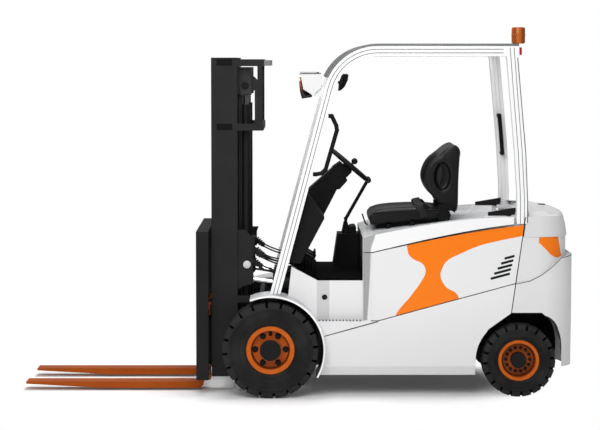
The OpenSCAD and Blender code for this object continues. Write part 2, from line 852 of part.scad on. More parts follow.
// Height of the plinths under the hinge arms, above the hinge axis
plinth_h = 6;

module hood_hinges() {
    color(black) both_sides() slab(hinge_y, hinge_y + hinge_t) difference() {
        union() {
            translate(hood_pivot) circle(r = hinge_r);
            polygon([
                hood_pivot + [-150, plinth_h + fit], hood_pivot + [-150, 28], hood_pivot + [18, 56],
                hood_pivot + [20, 42], hood_pivot + [12, 4], hood_pivot + [-14, 0],
                hood_pivot + [-42, plinth_h + fit]
            ]);
        }
        translate(hood_pivot) circle(r = hinge_pin + fit);
    }
}

// Seat: base on the hood, cushion and a backrest that bulges forward at the sides
seat_x = hood_x - 38;
seat_z = 1006;

module seat_base() {
    x0 = hood_x + 20;
    x1 = seat_x + 505;
    color(black) slab(-180, 180) polygon([
        [x0, on_line(deck_front, deck_back, x0) + fit], [x0, seat_under(x0) - fit],
        [x1, seat_under(x1) - fit], [x1, on_line(deck_front, deck_back, x1) + fit]
    ]);
}

function seat_under(x) = on_line([seat_x + 30, seat_z + 20], [seat_x + 520, seat_z + 76], x);

module seat_cushion() {
    color(black) slab(-seat_w / 2, seat_w / 2) polygon([
        [seat_x + 5, seat_z + 80], [seat_x + 9, seat_z + 40], [seat_x + 30, seat_z + 20],
        [seat_x + 520, seat_z + 76], [seat_x + 520, seat_z + 128], [seat_x + 430, seat_z + 150],
        [seat_x + 300, seat_z + 156], [seat_x + 130, seat_z + 146], [seat_x + 30, seat_z + 122]
    ]);
}

module seat_backrest() {
    b = [seat_x, seat_z];
    color(black) slab(-seat_w / 2 + 10, seat_w / 2 - 10) polygon([
        b + [430.1, 150.3], b + [520.1, 128.3], b + [560, 140], b + [572, 490], b + [556, 520],
        b + [530, 534], b + [500, 522], b + [422, 466], b + [368, 412], b + [342, 350], b + [342, 310],
        b + [360, 254], b + [392, 206]
    ]);
}

module steering_wheel() {
    rim_c = wheel_d / 2 - rim_r;
    color(black) translate([wheel_c[0], 0, wheel_c[1]]) rotate([0, wheel_tilt, 0]) {
        rotate_extrude() translate([rim_c, 0]) circle(r = rim_r, $fn = 24);
        translate([0, 0, -21.4]) cylinder(r = 36, h = 34);
        for (a = [0, 120, 240])
            rotate(a) block([20, -14, -6], [rim_c, 14, 4]);
        translate([0, -rim_c, 8]) cylinder(r = 7, h = 30);
        translate([0, -rim_c, 42]) sphere(r = 20);
    }
}

// Outer mast: channels, ties behind them, axle bearings and tilt brackets
module channel_plan() {
    difference() {
        translate([mast_x0, mast_y - flange_w]) square([mast_d, flange_w]);
        translate([mast_x0 + flange_t, mast_y - flange_w - 1])
            square([mast_d - 2 * flange_t, flange_w - web_t + 1]);
    }
}

module outer_tie(z) {
    both_sides() block([mast_x1, mast_y - web_t, z], [tie_back, mast_y, z + tie_h]);
    block([tie_back - 28, -mast_y + web_t, z], [tie_back, mast_y - web_t, z + tie_h]);
}

module bearing_outline() {
    difference() {
        union() {
            translate([front_x, front_z]) circle(r = 104);
            polygon([
                [mast_x1, 150], [mast_x1, 520], [front_x - 90, front_z + 80], [front_x, front_z + 104],
                [front_x, front_z - 104], [mast_x1 + 60, 150]
            ]);
        }
        translate([front_x, front_z]) circle(r = axle_r + fit);
    }
}

pin_hole = [mast_x1 + 58, 797];

module tilt_bracket() {
    difference() {
        polygon([
            [mast_x1, 640], [mast_x1, 1010], [mast_x1 + 50, 1010], [mast_x1 + 88, 960],
            [mast_x1 + 98, 690], [tilt_pin[0] + 14, 672], [tilt_pin[0] - 20, 668]
        ]);
        translate(pin_hole) circle(r = 22);
    }
}

// Ribbed hose fitting behind the tilt bracket
module hose_fitting(z) {
    rings = 4;
    translate([mast_x1 + 70, tilt_y + 15, z]) rotate([0, 125, 0]) {
        cylinder(r = 14, h = 104);
        for (i = [0:rings - 1])
            translate([0, 0, 34 + 16 * i]) cylinder(r = 24 - 2 * i, h = 10);
    }
}

module outer_mast() {
    color(black) {
        both_sides() difference() {
            layer(mast_low, mast_h) channel_plan();
            for (z = [tie_z[1], tie_z[2]])
                block([mast_x0 + 35, mast_y - 5, z + 3], [mast_x1 - 32, mast_y + 1, z + 43]);
        }
        for (z = tie_z)
            outer_tie(z);
        block([mast_x1 - 1, -mast_y + web_t, 100], [mast_x1 + 20, mast_y - web_t, 240]);
        both_sides() block([mast_x1 + 20, lift_y - 45, 100], [lift_x + 45, lift_y + 45, barrel_low]);
        both_sides() slab(mast_y - 60, mast_y - 20) bearing_outline();
        for (y = [tilt_y - 30, tilt_y + 20])
            both_sides() slab(y, y + 10) tilt_bracket();
        both_sides() cross_bar(tilt_pin[0], tilt_pin[1], 16, tilt_y - 20, tilt_y + 20);
        both_sides() cross_bar(pin_hole[0], pin_hole[1], 23, tilt_y - 30, tilt_y + 34);
        both_sides() block([tie_back - 37, mast_y - web_t, tie_z[1]], [tie_back - 6, mast_y, tie_z[2] + 1]);
        both_sides() block([tie_back - 1, mast_y - 30, tie_z[2] + 4], [tie_back + 45, mast_y, tie_z[2] + 36]);
        for (z = [838, 905])
            both_sides() hose_fitting(z);
        both_sides() block([sheave_c[0] + sheave_r - 12, chain_y - 20, anchor_z - 60],
            [tie_back - 28, chain_y + 20, anchor_z - 24]);
    }
}

barrel_low = 130;
barrel_top = 1790;
barrel_floor = 20;
rod_hold = 135;

module lift_barrels() {
    gland = 40;
    bore_len = barrel_top - barrel_low - barrel_floor - gland;
    color(black) both_sides() translate([lift_x, lift_y, barrel_low]) difference() {
        cylinder(r = lift_r, h = barrel_top - barrel_low);
        translate([0, 0, barrel_floor]) cylinder(r = rod_r + 4, h = bore_len);
        translate([0, 0, barrel_floor]) cylinder(r = rod_r + fit, h = barrel_top);
    }
}

// Inner mast: I-section rails with ties at the top and bottom
module inner_plan() {
    translate([inner_x0, inner_y0]) square([inner_flange, inner_y1 - inner_y0]);
    translate([inner_x1 - inner_flange, inner_y0]) square([inner_flange, inner_y1 - inner_y0]);
    translate([inner_x0, inner_web]) square([inner_x1 - inner_x0, web_t]);
}

module inner_mast() {
    color(black) {
        both_sides() layer(110, mast_h - 20) inner_plan();
        block([inner_x1 - inner_flange, -inner_y0, mast_h - 110], [inner_x1, inner_y0, mast_h - 20]);
        block([inner_x1 - inner_flange, -inner_y0, 120], [inner_x1, inner_y0, 240]);
    }
}

// Lift rods with the head that lifts the inner mast and carries the chain sheaves
module lift_rods() {
    piston = 30;
    rod_low = barrel_top - rod_hold - stage_lift;
    color(steel) both_sides() translate([lift_x, lift_y, rod_low]) {
        cylinder(r = rod_r, h = head_z - rod_low);
        cylinder(r = rod_r + 3, h = piston);
    }
    color(black) both_sides() {
        block([lift_x - 36, inner_y0 + 6, head_z], [lift_x + 36, lift_y + 25, head_z + 50]);
        block([inner_x1, inner_y0 + 6, head_z], [lift_x + 36, inner_y0 + 26, mast_h - 60]);
        cross_bar(sheave_c[0], sheave_c[1], 16, chain_y - 18, inner_y0 + 6);
        cross_bar(sheave_c[0], sheave_c[1], sheave_r - chain_t / 2, chain_y - 8, chain_y + 8);
        for (y = [chain_y - 14, chain_y + 8])
            cross_bar(sheave_c[0], sheave_c[1], sheave_r, y, y + 6);
    }
}

// Lift chains: the front runs hang the carriage, the rear runs hold to the outer mast
module chain_run(x, z0, z1) {
    both_sides() block([x - chain_t / 2, chain_y - chain_w / 2 + 1, z0],
        [x + chain_t / 2, chain_y + chain_w / 2 - 1, z1]);
}

module front_chains() {
    color(grey) chain_run(sheave_c[0] - sheave_r, carriage_anchor, sheave_c[1]);
}

module rear_chains() {
    color(grey) chain_run(sheave_c[0] + sheave_r, anchor_z - 23, sheave_c[1]);
}

// Carriage: fork bars, hanger plates with rollers and the chain anchors
module carriage() {
    roller_r = (inner_x1 - inner_x0 - 2 * inner_flange) / 2 - 5;
    roller_x = (inner_x0 + inner_x1) / 2;
    color(black) {
        for (bar = [low_bar, high_bar])
            block([bar_x0, -side_y + side_t, bar[0]], [bar_x1, side_y - side_t, bar[1]]);
        both_sides() block([bar_x1, inner_y0 - 30, 150], [roller_x + 30, inner_y0 - 6, 462]);
        both_sides() for (z = [200, 400])
            cross_bar(roller_x, z, roller_r, inner_y0 - 6, inner_web - 5);
        both_sides() block([roller_x + 30, inner_y0 - 43, carriage_anchor - 60],
            [sheave_c[0] - sheave_r + 14, inner_y0 - 19, carriage_anchor]);
    }
}

// Load backrest: side plates, rails and upright bars
module load_backrest() {
    rail_t = 30;
    rail_low = 562;
    bars = 6;
    span = carriage_w - 2 * side_t;
    x0 = fork_face + 6;
    x1 = bar_x1 + 12;
    color(black) {
        both_sides() block([x0, side_y - side_t, 95], [x1, side_y, backrest_top]);
        block([x0, -side_y + side_t, backrest_top - 40], [x1, side_y - side_t, backrest_top]);
        block([bar_x0, -side_y + side_t, rail_low], [bar_x1, side_y - side_t, rail_low + rail_t]);
        for (i = [1:bars])
            translate([bar_x0 + 3, -span / 2 + span * i / (bars + 1) - 8, rail_low + rail_t])
                cube([24, 16, backrest_top - 40 - rail_low - rail_t]);
    }
}

// Forks with hooks over the carriage bars
module fork_outline() {
    heel = fork_clear + fork_t;
    tip_t = 14;
    gap = 6;
    hook = bar_x1 + gap + 9;
    hook_low = low_bar[0] - 34;
    hook_top = high_bar[1] + 34;
    lip = 30;
    polygon([
        [tip_x, heel - tip_t], [tip_x + fork_len * 0.45, fork_clear], [fork_back - 20, fork_clear],
        [fork_back, fork_clear + 20], [fork_back, hook_low], [hook, hook_low],
        [hook, low_bar[0] + lip], [bar_x1 + gap, low_bar[0] + lip], [bar_x1 + gap, low_bar[0] - gap],
        [fork_back, low_bar[0] - gap], [fork_back, high_bar[1] + gap],
        [bar_x1 + gap, high_bar[1] + gap], [bar_x1 + gap, high_bar[1] - lip],
        [hook, high_bar[1] - lip], [hook, hook_top], [fork_face, hook_top], [fork_face, heel],
        [tip_x, heel]
    ]);
}

module fork() {
    color(orange) slab(-fork_spread / 2 - fork_w / 2, -fork_spread / 2 + fork_w / 2) fork_outline();
}

module fork_left() {
    fork();
}

module fork_right() {
    mirror([0, 1, 0]) fork();
}

// Tilt cylinders, drawn along their own axis from the frame pin
tilt_vector = tilt_pin - tilt_base;
tilt_len = norm(tilt_vector);
tilt_angle = atan2(tilt_vector[1], tilt_vector[0]);

module along_tilt() {
    both_sides() translate([tilt_base[0], tilt_y, tilt_base[1]])
        rotate([0, 90 - tilt_angle, 0]) children();
}

module tilt_barrels() {
    gland = 25;
    barrel_len = 250;
    rod_r = 15;
    color(black) along_tilt() difference() {
        union() {
            rotate([90, 0, 0]) cylinder(r = 34, h = 40, center = true);
            cylinder(r = tilt_r, h = barrel_len);
        }
        rotate([90, 0, 0]) cylinder(r = 18 + fit, h = 90, center = true);
        translate([0, 0, 46]) cylinder(r = rod_r + 10, h = barrel_len - gland - 46);
        translate([0, 0, 46]) cylinder(r = rod_r + fit, h = barrel_len);
        for (s = [-1, 1])
            translate([-60, s * 38 - 18, -60]) cube([120, 36, 100]);
    }
}

module tilt_rods() {
    eye_r = 32;
    rod_r = 15;
    color(steel) along_tilt() difference() {
        union() {
            translate([0, 0, 130]) cylinder(r = rod_r, h = tilt_len - 130);
            translate([0, 0, 130]) cylinder(r = rod_r + 9, h = 20);
            translate([0, 0, tilt_len]) rotate([90, 0, 0]) cylinder(r = eye_r, h = 24, center = true);
        }
        translate([0, 0, tilt_len]) rotate([90, 0, 0]) cylinder(r = 16 + 5, h = 60, center = true);
    }
}

chassis_frame();
front_fenders();
floor_plate();
front_cowl();
side_panels();
counterweight();
rear_cover();
overhead_guard();
roof_bars();
lever_console();
control_levers();
pedals();
grab_handles();
headlights();
beacon();
rear_lamps();
view_mirror();
battery_block();
drive_axle();
steer_axle();
hood();
hood_hinges();
seat_base();
seat_cushion();
seat_backrest();
steering_wheel();
front_tyre_left();
front_tyre_right();
front_rim_left();
front_rim_right();
rear_tyre_left();
rear_tyre_right();
rear_rim_left();
rear_rim_right();
knuckle_left();
knuckle_right();
outer_mast();
lift_barrels();
inner_mast();
lift_rods();
front_chains();
rear_chains();
carriage();
load_backrest();
fork_left();
fork_right();
tilt_barrels();
tilt_rods();
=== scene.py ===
import math
import bpy
import bmesh
from mathutils import Vector, Matrix


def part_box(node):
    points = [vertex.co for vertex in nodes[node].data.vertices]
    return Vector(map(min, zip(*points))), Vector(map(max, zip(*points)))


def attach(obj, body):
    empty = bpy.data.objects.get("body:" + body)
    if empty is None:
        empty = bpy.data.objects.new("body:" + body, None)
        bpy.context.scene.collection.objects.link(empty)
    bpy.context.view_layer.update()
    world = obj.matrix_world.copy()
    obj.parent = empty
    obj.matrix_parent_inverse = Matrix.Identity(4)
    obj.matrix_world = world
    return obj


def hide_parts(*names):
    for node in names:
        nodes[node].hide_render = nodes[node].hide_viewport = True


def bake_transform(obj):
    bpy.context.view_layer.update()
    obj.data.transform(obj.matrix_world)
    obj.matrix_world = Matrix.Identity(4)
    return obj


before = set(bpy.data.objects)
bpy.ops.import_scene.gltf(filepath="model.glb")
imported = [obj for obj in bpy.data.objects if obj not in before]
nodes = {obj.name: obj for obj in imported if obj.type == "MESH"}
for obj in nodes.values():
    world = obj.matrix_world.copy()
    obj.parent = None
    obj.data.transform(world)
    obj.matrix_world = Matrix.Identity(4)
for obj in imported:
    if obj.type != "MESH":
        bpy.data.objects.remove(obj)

scene = bpy.context.scene
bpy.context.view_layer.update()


# shader wiring: a socket that takes part in sums, and one method for every other node
class Wire:
    def __init__(self, paint, socket):
        self.paint = paint
        self.socket = socket

    def math(self, operation, *others):
        return self.paint.math(operation, self, *others)

    def __add__(self, other):
        return self.math("ADD", other)

    def __radd__(self, other):
        return self.paint.math("ADD", other, self)

    def __sub__(self, other):
        return self.math("SUBTRACT", other)

    def __rsub__(self, other):
        return self.paint.math("SUBTRACT", other, self)

    def __mul__(self, other):
        return self.math("MULTIPLY", other)

    def __rmul__(self, other):
        return self.paint.math("MULTIPLY", other, self)

    def __truediv__(self, other):
        return self.math("DIVIDE", other)

    def __rtruediv__(self, other):
        return self.paint.math("DIVIDE", other, self)

    def __lt__(self, other):
        return self.math("LESS_THAN", other)

    def __gt__(self, other):
        return self.math("GREATER_THAN", other)

    def __abs__(self):
        return self.math("ABSOLUTE")

    def ramp(self, low, high, outLow=0.0, outHigh=1.0):
        return self.paint.node("MapRange", {"interpolation_type": "SMOOTHSTEP"},
                               {0: self, 1: low, 2: high, 3: outLow, 4: outHigh})


edgeSet = {"samples": 4, "radius": 0.004}  # soft highlight on every edge


class Paint:
    def __init__(self, owner):
        self.owner = owner  # a material or the world
        owner.use_nodes = True
        self.tree = owner.node_tree
        self.shader = self.tree.nodes.get("Principled BSDF") or self.tree.nodes["Background"]

    def feed(self, socket, value):
        if isinstance(value, Wire):
            self.tree.links.new(value.socket, socket)
        else:
            socket.default_value = value

    def node(self, kind, settings=None, inputs=None, out=0):
        made = self.tree.nodes.new("ShaderNode" + kind)
        for key, value in (settings or {}).items():
            if key == "curve":
                line = made.mapping.curves[0]
                for i, (x, y) in enumerate(value):
                    point = line.points[i] if i < 2 else line.points.new(x, y)
                    point.location = (x, y)
                made.mapping.update()
            else:
                setattr(made, key, value)
        for key, value in (inputs or {}).items():
            self.feed(made.inputs[key], value)
        return Wire(self, made.outputs[out])

    def math(self, operation, *values):
        return self.node("Math", {"operation": operation}, dict(enumerate(values)))

    def split(self, vector):
        first = self.node("SeparateXYZ", inputs={0: vector})
        return [Wire(self, socket) for socket in first.socket.node.outputs]

    def place(self):
        return self.split(self.node("TexCoord", out="Object"))

    def facing(self):
        return self.split(self.node("NewGeometry", out="Normal"))

    def noise(self, scale, detail, stretch=(1, 1, 1)):
        spot = self.node("TexCoord", out="Object")
        spot = self.node("Mapping", inputs={"Vector": spot, "Scale": stretch})
        return self.node("TexNoise", inputs={"Vector": spot, "Scale": scale, "Detail": detail})

    def mix(self, factor, a, b):
        return self.node("Mix", {"data_type": "RGBA"}, {0: factor, 6: a, 7: b}, out=2)

    def bump(self, height, distance, strength):
        rounded = self.node("Bevel", {"samples": edgeSet["samples"]}, {"Radius": edgeSet["radius"]})
        inputs = {"Height": height, "Distance": distance, "Strength": strength, "Normal": rounded}
        return self.node("Bump", inputs=inputs)

    def finish(self, **values):
        for key, value in values.items():
            self.feed(self.shader.inputs[key.replace("_", " ")], value)
        return self.owner


def newPaint(name):
    return Paint(bpy.data.materials.new(name))


def rgb(r, g, b):
    return (r, g, b, 1.0)


def tint(colour, factor=1.0):
    return rgb(*[min(1, c * factor) for c in colour])


def centre(node):
    low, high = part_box(node)
    return [(a + b) / 2 for a, b in zip(low, high)]


black = rgb(0.0, 0.0, 0.0)
white = rgb(1.0, 1.0, 1.0)


# camera, lamps, floor
cameraSet = {
    "spot": (0.0, -11.392, 2.061), "pitch": 3.5, "yaw": -0.079,
    "lens": 107.19, "sensor": 36.0, "rise": -0.0751, "reach": 100.0,
}
lampSet = {
    "keyLamp": {"spot": (-0.8, -5.0, 4.4), "aim": (0.2, 0.0, 0.9), "size": 3.5, "power": 205},
    "topLamp": {"spot": (0.2, 0.4, 5.5), "aim": (0.2, 0.0, 0.0), "size": 2.4, "power": 230},
}
worldSet = {"fill": 0.37, "backdrop": 1.0}
floorSet = {
    "size": 80.0, "drop": 0.0005, "albedo": 0.88, "lift": 0.05,
    "centre": -0.50, "squash": (0.55, 1.6), "fadeStart": 1.25, "fadeEnd": 1.60,
}


def addCamera():
    data = bpy.data.cameras.new("camera")
    data.lens = cameraSet["lens"]
    data.sensor_width = cameraSet["sensor"]
    data.clip_end = cameraSet["reach"]
    data.shift_y = cameraSet["rise"]
    camera = bpy.data.objects.new("camera", data)
    camera.location = cameraSet["spot"]
    camera.rotation_euler = (math.radians(90 - cameraSet["pitch"]), 0, math.radians(cameraSet["yaw"]))
    scene.collection.objects.link(camera)
    scene.camera = camera


def addLamps():
    for name, s in lampSet.items():
        data = bpy.data.lights.new(name, "AREA")
        data.size = s["size"]
        data.energy = s["power"]
        lamp = bpy.data.objects.new(name, data)
        lamp.location = s["spot"]
        aim = Vector(s["aim"]) - Vector(s["spot"])
        lamp.rotation_euler = aim.to_track_quat("-Z", "Y").to_euler()
        scene.collection.objects.link(lamp)


def addWorld():
    world = Paint(bpy.data.worlds.new("studio"))
    seen = world.node("LightPath", out="Is Camera Ray")
    seen = seen.math("MAXIMUM", world.node("LightPath", out="Is Transmission Ray"))
    level = world.node("MapRange", inputs={0: seen, 3: worldSet["fill"], 4: worldSet["backdrop"]})
    scene.world = world.finish(Color=white, Strength=level)


def addFloor():
    s = floorSet
    bpy.ops.mesh.primitive_plane_add(size=s["size"], location=(0, 0, -s["drop"]))
    floor = bpy.context.object
    floor.name = "floor"
    paint = newPaint("floorWhite")
    matte = paint.node("BsdfDiffuse", inputs={"Color": rgb(s["albedo"], s["albedo"], s["albedo"])})
    seen = paint.node("LightPath", out="Is Camera Ray")
    glow = paint.node("Emission", inputs={"Color": white, "Strength": s["lift"] * seen})
    both = paint.node("AddShader", inputs={0: matte, 1: glow})
    x, y, z = paint.place()
    along = x - s["centre"]
    wide, deep = s["squash"]
    away = (along * along * wide + y * y * deep).math("SQRT")
    plain = paint.node("Emission", inputs={"Color": white, "Strength": 1.0})
    fade = away.ramp(s["fadeStart"], s["fadeEnd"]) * seen  # plain white far from the truck
    whole = paint.node("MixShader", inputs={0: fade, 1: both, 2: plain})
    paint.feed(paint.tree.nodes["Material Output"].inputs["Surface"], whole)
    floor.data.materials.append(paint.owner)


scene.view_settings.view_transform = "Standard"
addCamera()
addLamps()
addWorld()
addFloor()
print("stage set")


# white paint, and the marks and painted shade that some pieces carry on it
def lineOver(paint, along, points, spanIn, spanOut):
    (a, b), (c, d) = spanIn, spanOut
    curve = [((x - a) / (b - a), (y - c) / (d - c)) for x, y in points]
    if curve[0][0] > 0:
        curve.insert(0, (0.0, curve[0][1]))
    if curve[-1][0] < 1:
        curve.append((1.0, curve[-1][1]))
    curve = [curve[0], curve[-1]] + curve[1:-1]  # a new curve already has its two ends
    share = (along - a) / (b - a)
    return paint.node("FloatCurve", {"curve": curve}, {"Value": share}) * (d - c) + c


stripeOrange = rgb(0.93, 0.20, 0.003)
stripeSet = {
    "skin": 0.008, "zRange": (0.47, 1.06), "xRange": (0.5, 1.6),
    "left": [(0.494, 0.597), (0.630, 0.697), (0.716, 0.758), (0.762, 0.780), (0.795, 0.780), (0.826, 0.758),
             (0.850, 0.709), (0.875, 0.682), (0.905, 0.672), (1.06, 0.672)],
    "right": [(0.60, 0.990), (0.645, 0.966), (0.672, 0.917), (0.710, 0.887), (0.752, 0.874), (0.789, 0.883),
              (0.842, 0.917), (0.881, 0.990), (0.933, 1.113), (0.964, 1.235), (0.997, 1.392), (1.06, 1.6)],
}


def panelStripe(paint, colour):
    s = stripeSet
    x, y, z = paint.place()
    left = lineOver(paint, z, s["left"], s["zRange"], s["xRange"])
    right = lineOver(paint, z, s["right"], s["zRange"], s["xRange"])
    outside = abs(y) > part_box("side_panels")[1].y - s["skin"]
    return paint.mix((x > left) * (x < right) * outside, colour, stripeOrange)


castSet = {
    "patchLow": [(1.475, 0.947), (1.504, 0.923), (1.572, 0.862), (1.60, 0.856), (1.70, 0.92)],
    "patchIn": (1.45, 1.75), "patchOut": (0.8, 1.1), "patchFront": 1.475,
    "patchBack": (1.625, 0.85, 0.2),  # place at the foot, height of the foot, lean
    "arch": [(0.19, 1.616), (0.275, 1.622), (0.349, 1.618), (0.410, 1.602), (0.453, 1.583), (0.490, 1.546),
             (0.518, 1.497)],
    "archIn": (0.15, 0.52), "archOut": (1.4, 1.7), "archTop": 0.519, "archBlack": rgb(0.012, 0.012, 0.012),
}


def castMarks(paint, colour):
    s = castSet
    x, y, z = paint.place()
    under = lineOver(paint, x, s["patchLow"], s["patchIn"], s["patchOut"])
    back, foot, lean = s["patchBack"]
    patch = (z > under) * (x > s["patchFront"]) * (x < back - (z - foot) * lean)
    colour = paint.mix(patch, colour, stripeOrange)
    edge = lineOver(paint, z, s["arch"], s["archIn"], s["archOut"])
    return paint.mix((x < edge) * (z < s["archTop"]), colour, s["archBlack"])


fenderSet = {"lip": 0.011, "lipBlack": rgb(0.008, 0.008, 0.008)}


def fenderLip(paint, colour):
    across, up, reach = wheelPlace(paint, "front_tyre_left")
    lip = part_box("front_fenders")[1].z - centre("front_tyre_left")[2] - fenderSet["lip"]
    return paint.mix(reach < lip, colour, fenderSet["lipBlack"])


topSet = {"facing": (0.6, 0.85), "grey": rgb(0.55, 0.56, 0.57)}


def shadedTops(paint, colour):
    # painted shade: faces that look upwards turn grey
    upward = paint.facing()[2]
    return paint.mix(upward.ramp(*topSet["facing"]), colour, topSet["grey"])


cornerSet = {
    "edge": [(0.474, 0.431), (0.602, 0.439), (0.875, 0.451), (0.906, 0.452), (1.009, 0.479), (1.05, 0.479)],
    "zRange": (0.45, 1.06), "xRange": (0.38, 0.50), "fade": 0.008, "shade": 0.56,
    "front": 0.38, "foot": 0.474, "side": 0.476, "facing": 0.5,
}


def postCorner(paint, colour):
    s = cornerSet
    x, y, z = paint.place()
    edge = lineOver(paint, z, s["edge"], s["zRange"], s["xRange"])
    # painted shade over the rounded corner of the front posts, on faces that look sideways
    corner = (edge - x).ramp(0.0, s["fade"]) * (x > s["front"]) * (z > s["foot"]) * (abs(y) > s["side"])
    sideways = abs(paint.facing()[1]) > s["facing"]
    return paint.mix(corner * sideways * s["shade"], colour, black)


guardSet = {
    "face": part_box("overhead_guard")[1].y, "depth": (0.0015, 0.0045), "facing": 0.7,
    "groove": rgb(0.17, 0.175, 0.18),
}


def guardGroove(paint, colour):
    s = guardSet
    x, y, z = paint.place()
    depth = s["face"] - abs(y)
    near, far = s["depth"]
    sideways = abs(paint.facing()[1]) > s["facing"]
    # painted shade in the guard's grooves
    return paint.mix((depth > near) * (depth < far) * sideways, colour, s["groove"])


chassisSet = {
    "stripX": (0.119, 0.196), "stripFoot": 0.40, "stripSide": 0.475, "shade": 0.22,
    "inside": 0.4545, "insideBlack": rgb(0.006, 0.006, 0.0065),
}


def chassisShadeAndBlack(paint, colour):
    s = chassisSet
    x, y, z = paint.place()
    front, back = s["stripX"]
    # painted shade on a strip of the entry panel
    strip = (x > front) * (x < back) * (z > s["stripFoot"]) * (abs(y) < s["stripSide"])
    colour = paint.mix(strip * s["shade"], colour, black)
    # the frame's inner parts are painted black
    return paint.mix(abs(y) < s["inside"], colour, s["insideBlack"])


whiteSet = {
    "grimeNoise": (2.3, 5.0), "grime": (0.05, 0.975), "cool": 1.01,
    # painted shade: the white is darker towards the bottom
    "footShade": (0.15, 0.75, 0.90),  # from this height up to this one, and the tone at the foot
    "rough": (0.12, 0.27), "peelNoise": (160.0, 2.0), "peel": (0.0004, 0.15),
}


def whitePaint(name, base=0.80, marks=()):
    s = whiteSet
    paint = newPaint(name)
    x, y, z = paint.place()
    grime = paint.noise(*s["grimeNoise"])
    low, high, footShade = s["footShade"]
    vary, clean = s["grime"]
    # painted shade darkens the white towards the bottom; the grime noise varies it at random
    tone = z.ramp(low, high, footShade, 1.0) * (grime * vary + clean)
    colour = paint.mix(tone, black, rgb(base, base, base * s["cool"]))
    for mark in marks:
        colour = mark(paint, colour)
    peel = paint.noise(*s["peelNoise"])
    spread, smooth = s["rough"]
    return paint.finish(Base_Color=colour, Roughness=grime * spread + smooth, Specular_IOR_Level=0.2,
                        Coat_Weight=0.12, Coat_Roughness=0.12, Normal=paint.bump(peel, *s["peel"]))


# other finishes
satinSet = {
    "patchNoise": (5.0, 5.0), "patch": (0.25, 0.8), "tones": (0.86, 1.12), "rough": 0.14,
    "scuffNoise": (14.0, 8.0, (1, 4, 4)), "mark": rgb(0.002, 0.002, 0.002),
    "grainNoise": (220.0, 3.0), "grain": (0.0004, 0.3),
}


def satinPaint(name, colour, rough=0.45, shine=0.5, wear=None, marks=None):
    s = satinSet
    paint = newPaint(name)
    patch = paint.noise(*s["patchNoise"])
    dark, light = s["tones"]
    tone = paint.mix(patch.ramp(*s["patch"]), tint(colour, dark), tint(colour, light))
    if wear:
        low, high, bare = wear
        scuff = paint.noise(*s["scuffNoise"]).ramp(low, high)
        tone = paint.mix(scuff, tone, rgb(*bare))
    if marks:
        tone = paint.mix(marks(paint), tone, s["mark"])
    grain = paint.noise(*s["grainNoise"])
    return paint.finish(Base_Color=tone, Roughness=patch * s["rough"] + (rough - s["rough"] / 2),
                        Specular_IOR_Level=shine, Normal=paint.bump(grain, *s["grain"]))


grainSet = {
    "patchNoise": (4.0, 4.0), "tones": (0.85, 1.2), "rough": 0.1, "mark": rgb(0.0005, 0.0005, 0.0005),
    "cellScale": 420.0, "cells": (0.0006, 0.35),
}


def plasticGrain(name, colour, rough=0.55, shine=0.13, marks=None):
    s = grainSet
    paint = newPaint(name)
    patch = paint.noise(*s["patchNoise"])
    dark, light = s["tones"]
    tone = paint.mix(patch, tint(colour, dark), tint(colour, light))
    if marks:
        tone = paint.mix(marks(paint), tone, s["mark"])
    spot = paint.node("TexCoord", out="Object")
    cells = paint.node("TexVoronoi", inputs={"Vector": spot, "Scale": s["cellScale"]})
    return paint.finish(Base_Color=tone, Roughness=patch * s["rough"] + (rough - s["rough"] / 2),
                        Specular_IOR_Level=shine, Normal=paint.bump(cells, *s["cells"]))


def wheelPlace(paint, node):
    cx, cy, cz = centre(node)
    x, y, z = paint.place()
    across, up = x - cx, z - cz
    return across, up, (across * across + up * up).math("SQRT")


tyreSet = {  # places on the wall are shares of the tyre's radius
    "dustNoise": (9.0, 6.0), "dust": (0.35, 0.75),
    "rubber": rgb(0.008, 0.008, 0.0085), "dusty": rgb(0.019, 0.019, 0.018),
    "tread": (0.86, 0.90), "wornShare": 0.5, "worn": rgb(0.026, 0.026, 0.025),
    "shoulder": (0.80, 0.835), "bead": (0.62, 0.66), "groove": (0.55, 0.58), "wall": (0.006, 0.7),
    "grainNoise": (260.0, 4.0), "grain": 0.06, "rough": (0.16, 0.55),
}


def tyreRubber(name, node):
    s = tyreSet
    low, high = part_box(node)
    paint = newPaint(name)
    across, up, reach = wheelPlace(paint, node)
    share = reach / ((high.z - low.z) / 2)
    dust = paint.noise(*s["dustNoise"])
    tone = paint.mix(dust.ramp(*s["dust"]), s["rubber"], s["dusty"])
    tone = paint.mix(share.ramp(*s["tread"]) * s["wornShare"], tone, s["worn"])
    wall = share.ramp(*s["shoulder"]) + share.ramp(*s["bead"]) - share.ramp(*s["groove"])
    wall = wall + paint.noise(*s["grainNoise"]) * s["grain"]
    spread, smooth = s["rough"]
    return paint.finish(Base_Color=tone, Roughness=dust * spread + smooth, Specular_IOR_Level=0.14,
                        Normal=paint.bump(wall, *s["wall"]))


rimSet = {
    "front": {"hub": 0.066, "ring": 0.093, "nuts": 6, "nutSize": 0.019, "lip": 0.121, "shade": 0.12,
              "slot": (0.0115, 0.082, 0.118)},  # half width, foot and top of the valve's slot
    "rear": {"hub": 0.048, "ring": 0.074, "nuts": 14, "nutSize": 0.0105, "lip": 0.105, "shade": 0.5,
             "slot": None},
    "dustNoise": (22.0, 5.0), "dust": (0.3, 0.8), "rough": (0.15, 0.36), "skin": (0.0004, 0.2),
    "tones": (rgb(0.47, 0.095, 0.008), rgb(0.56, 0.118, 0.010)), "deep": rgb(0.08, 0.014, 0.004),
    "lipFade": (0.004, 0.002), "lipLine": (0.012, 0.003), "lineShare": 0.7, "line": rgb(0.03, 0.006, 0.003),
    "steel": rgb(0.008, 0.008, 0.008),
}


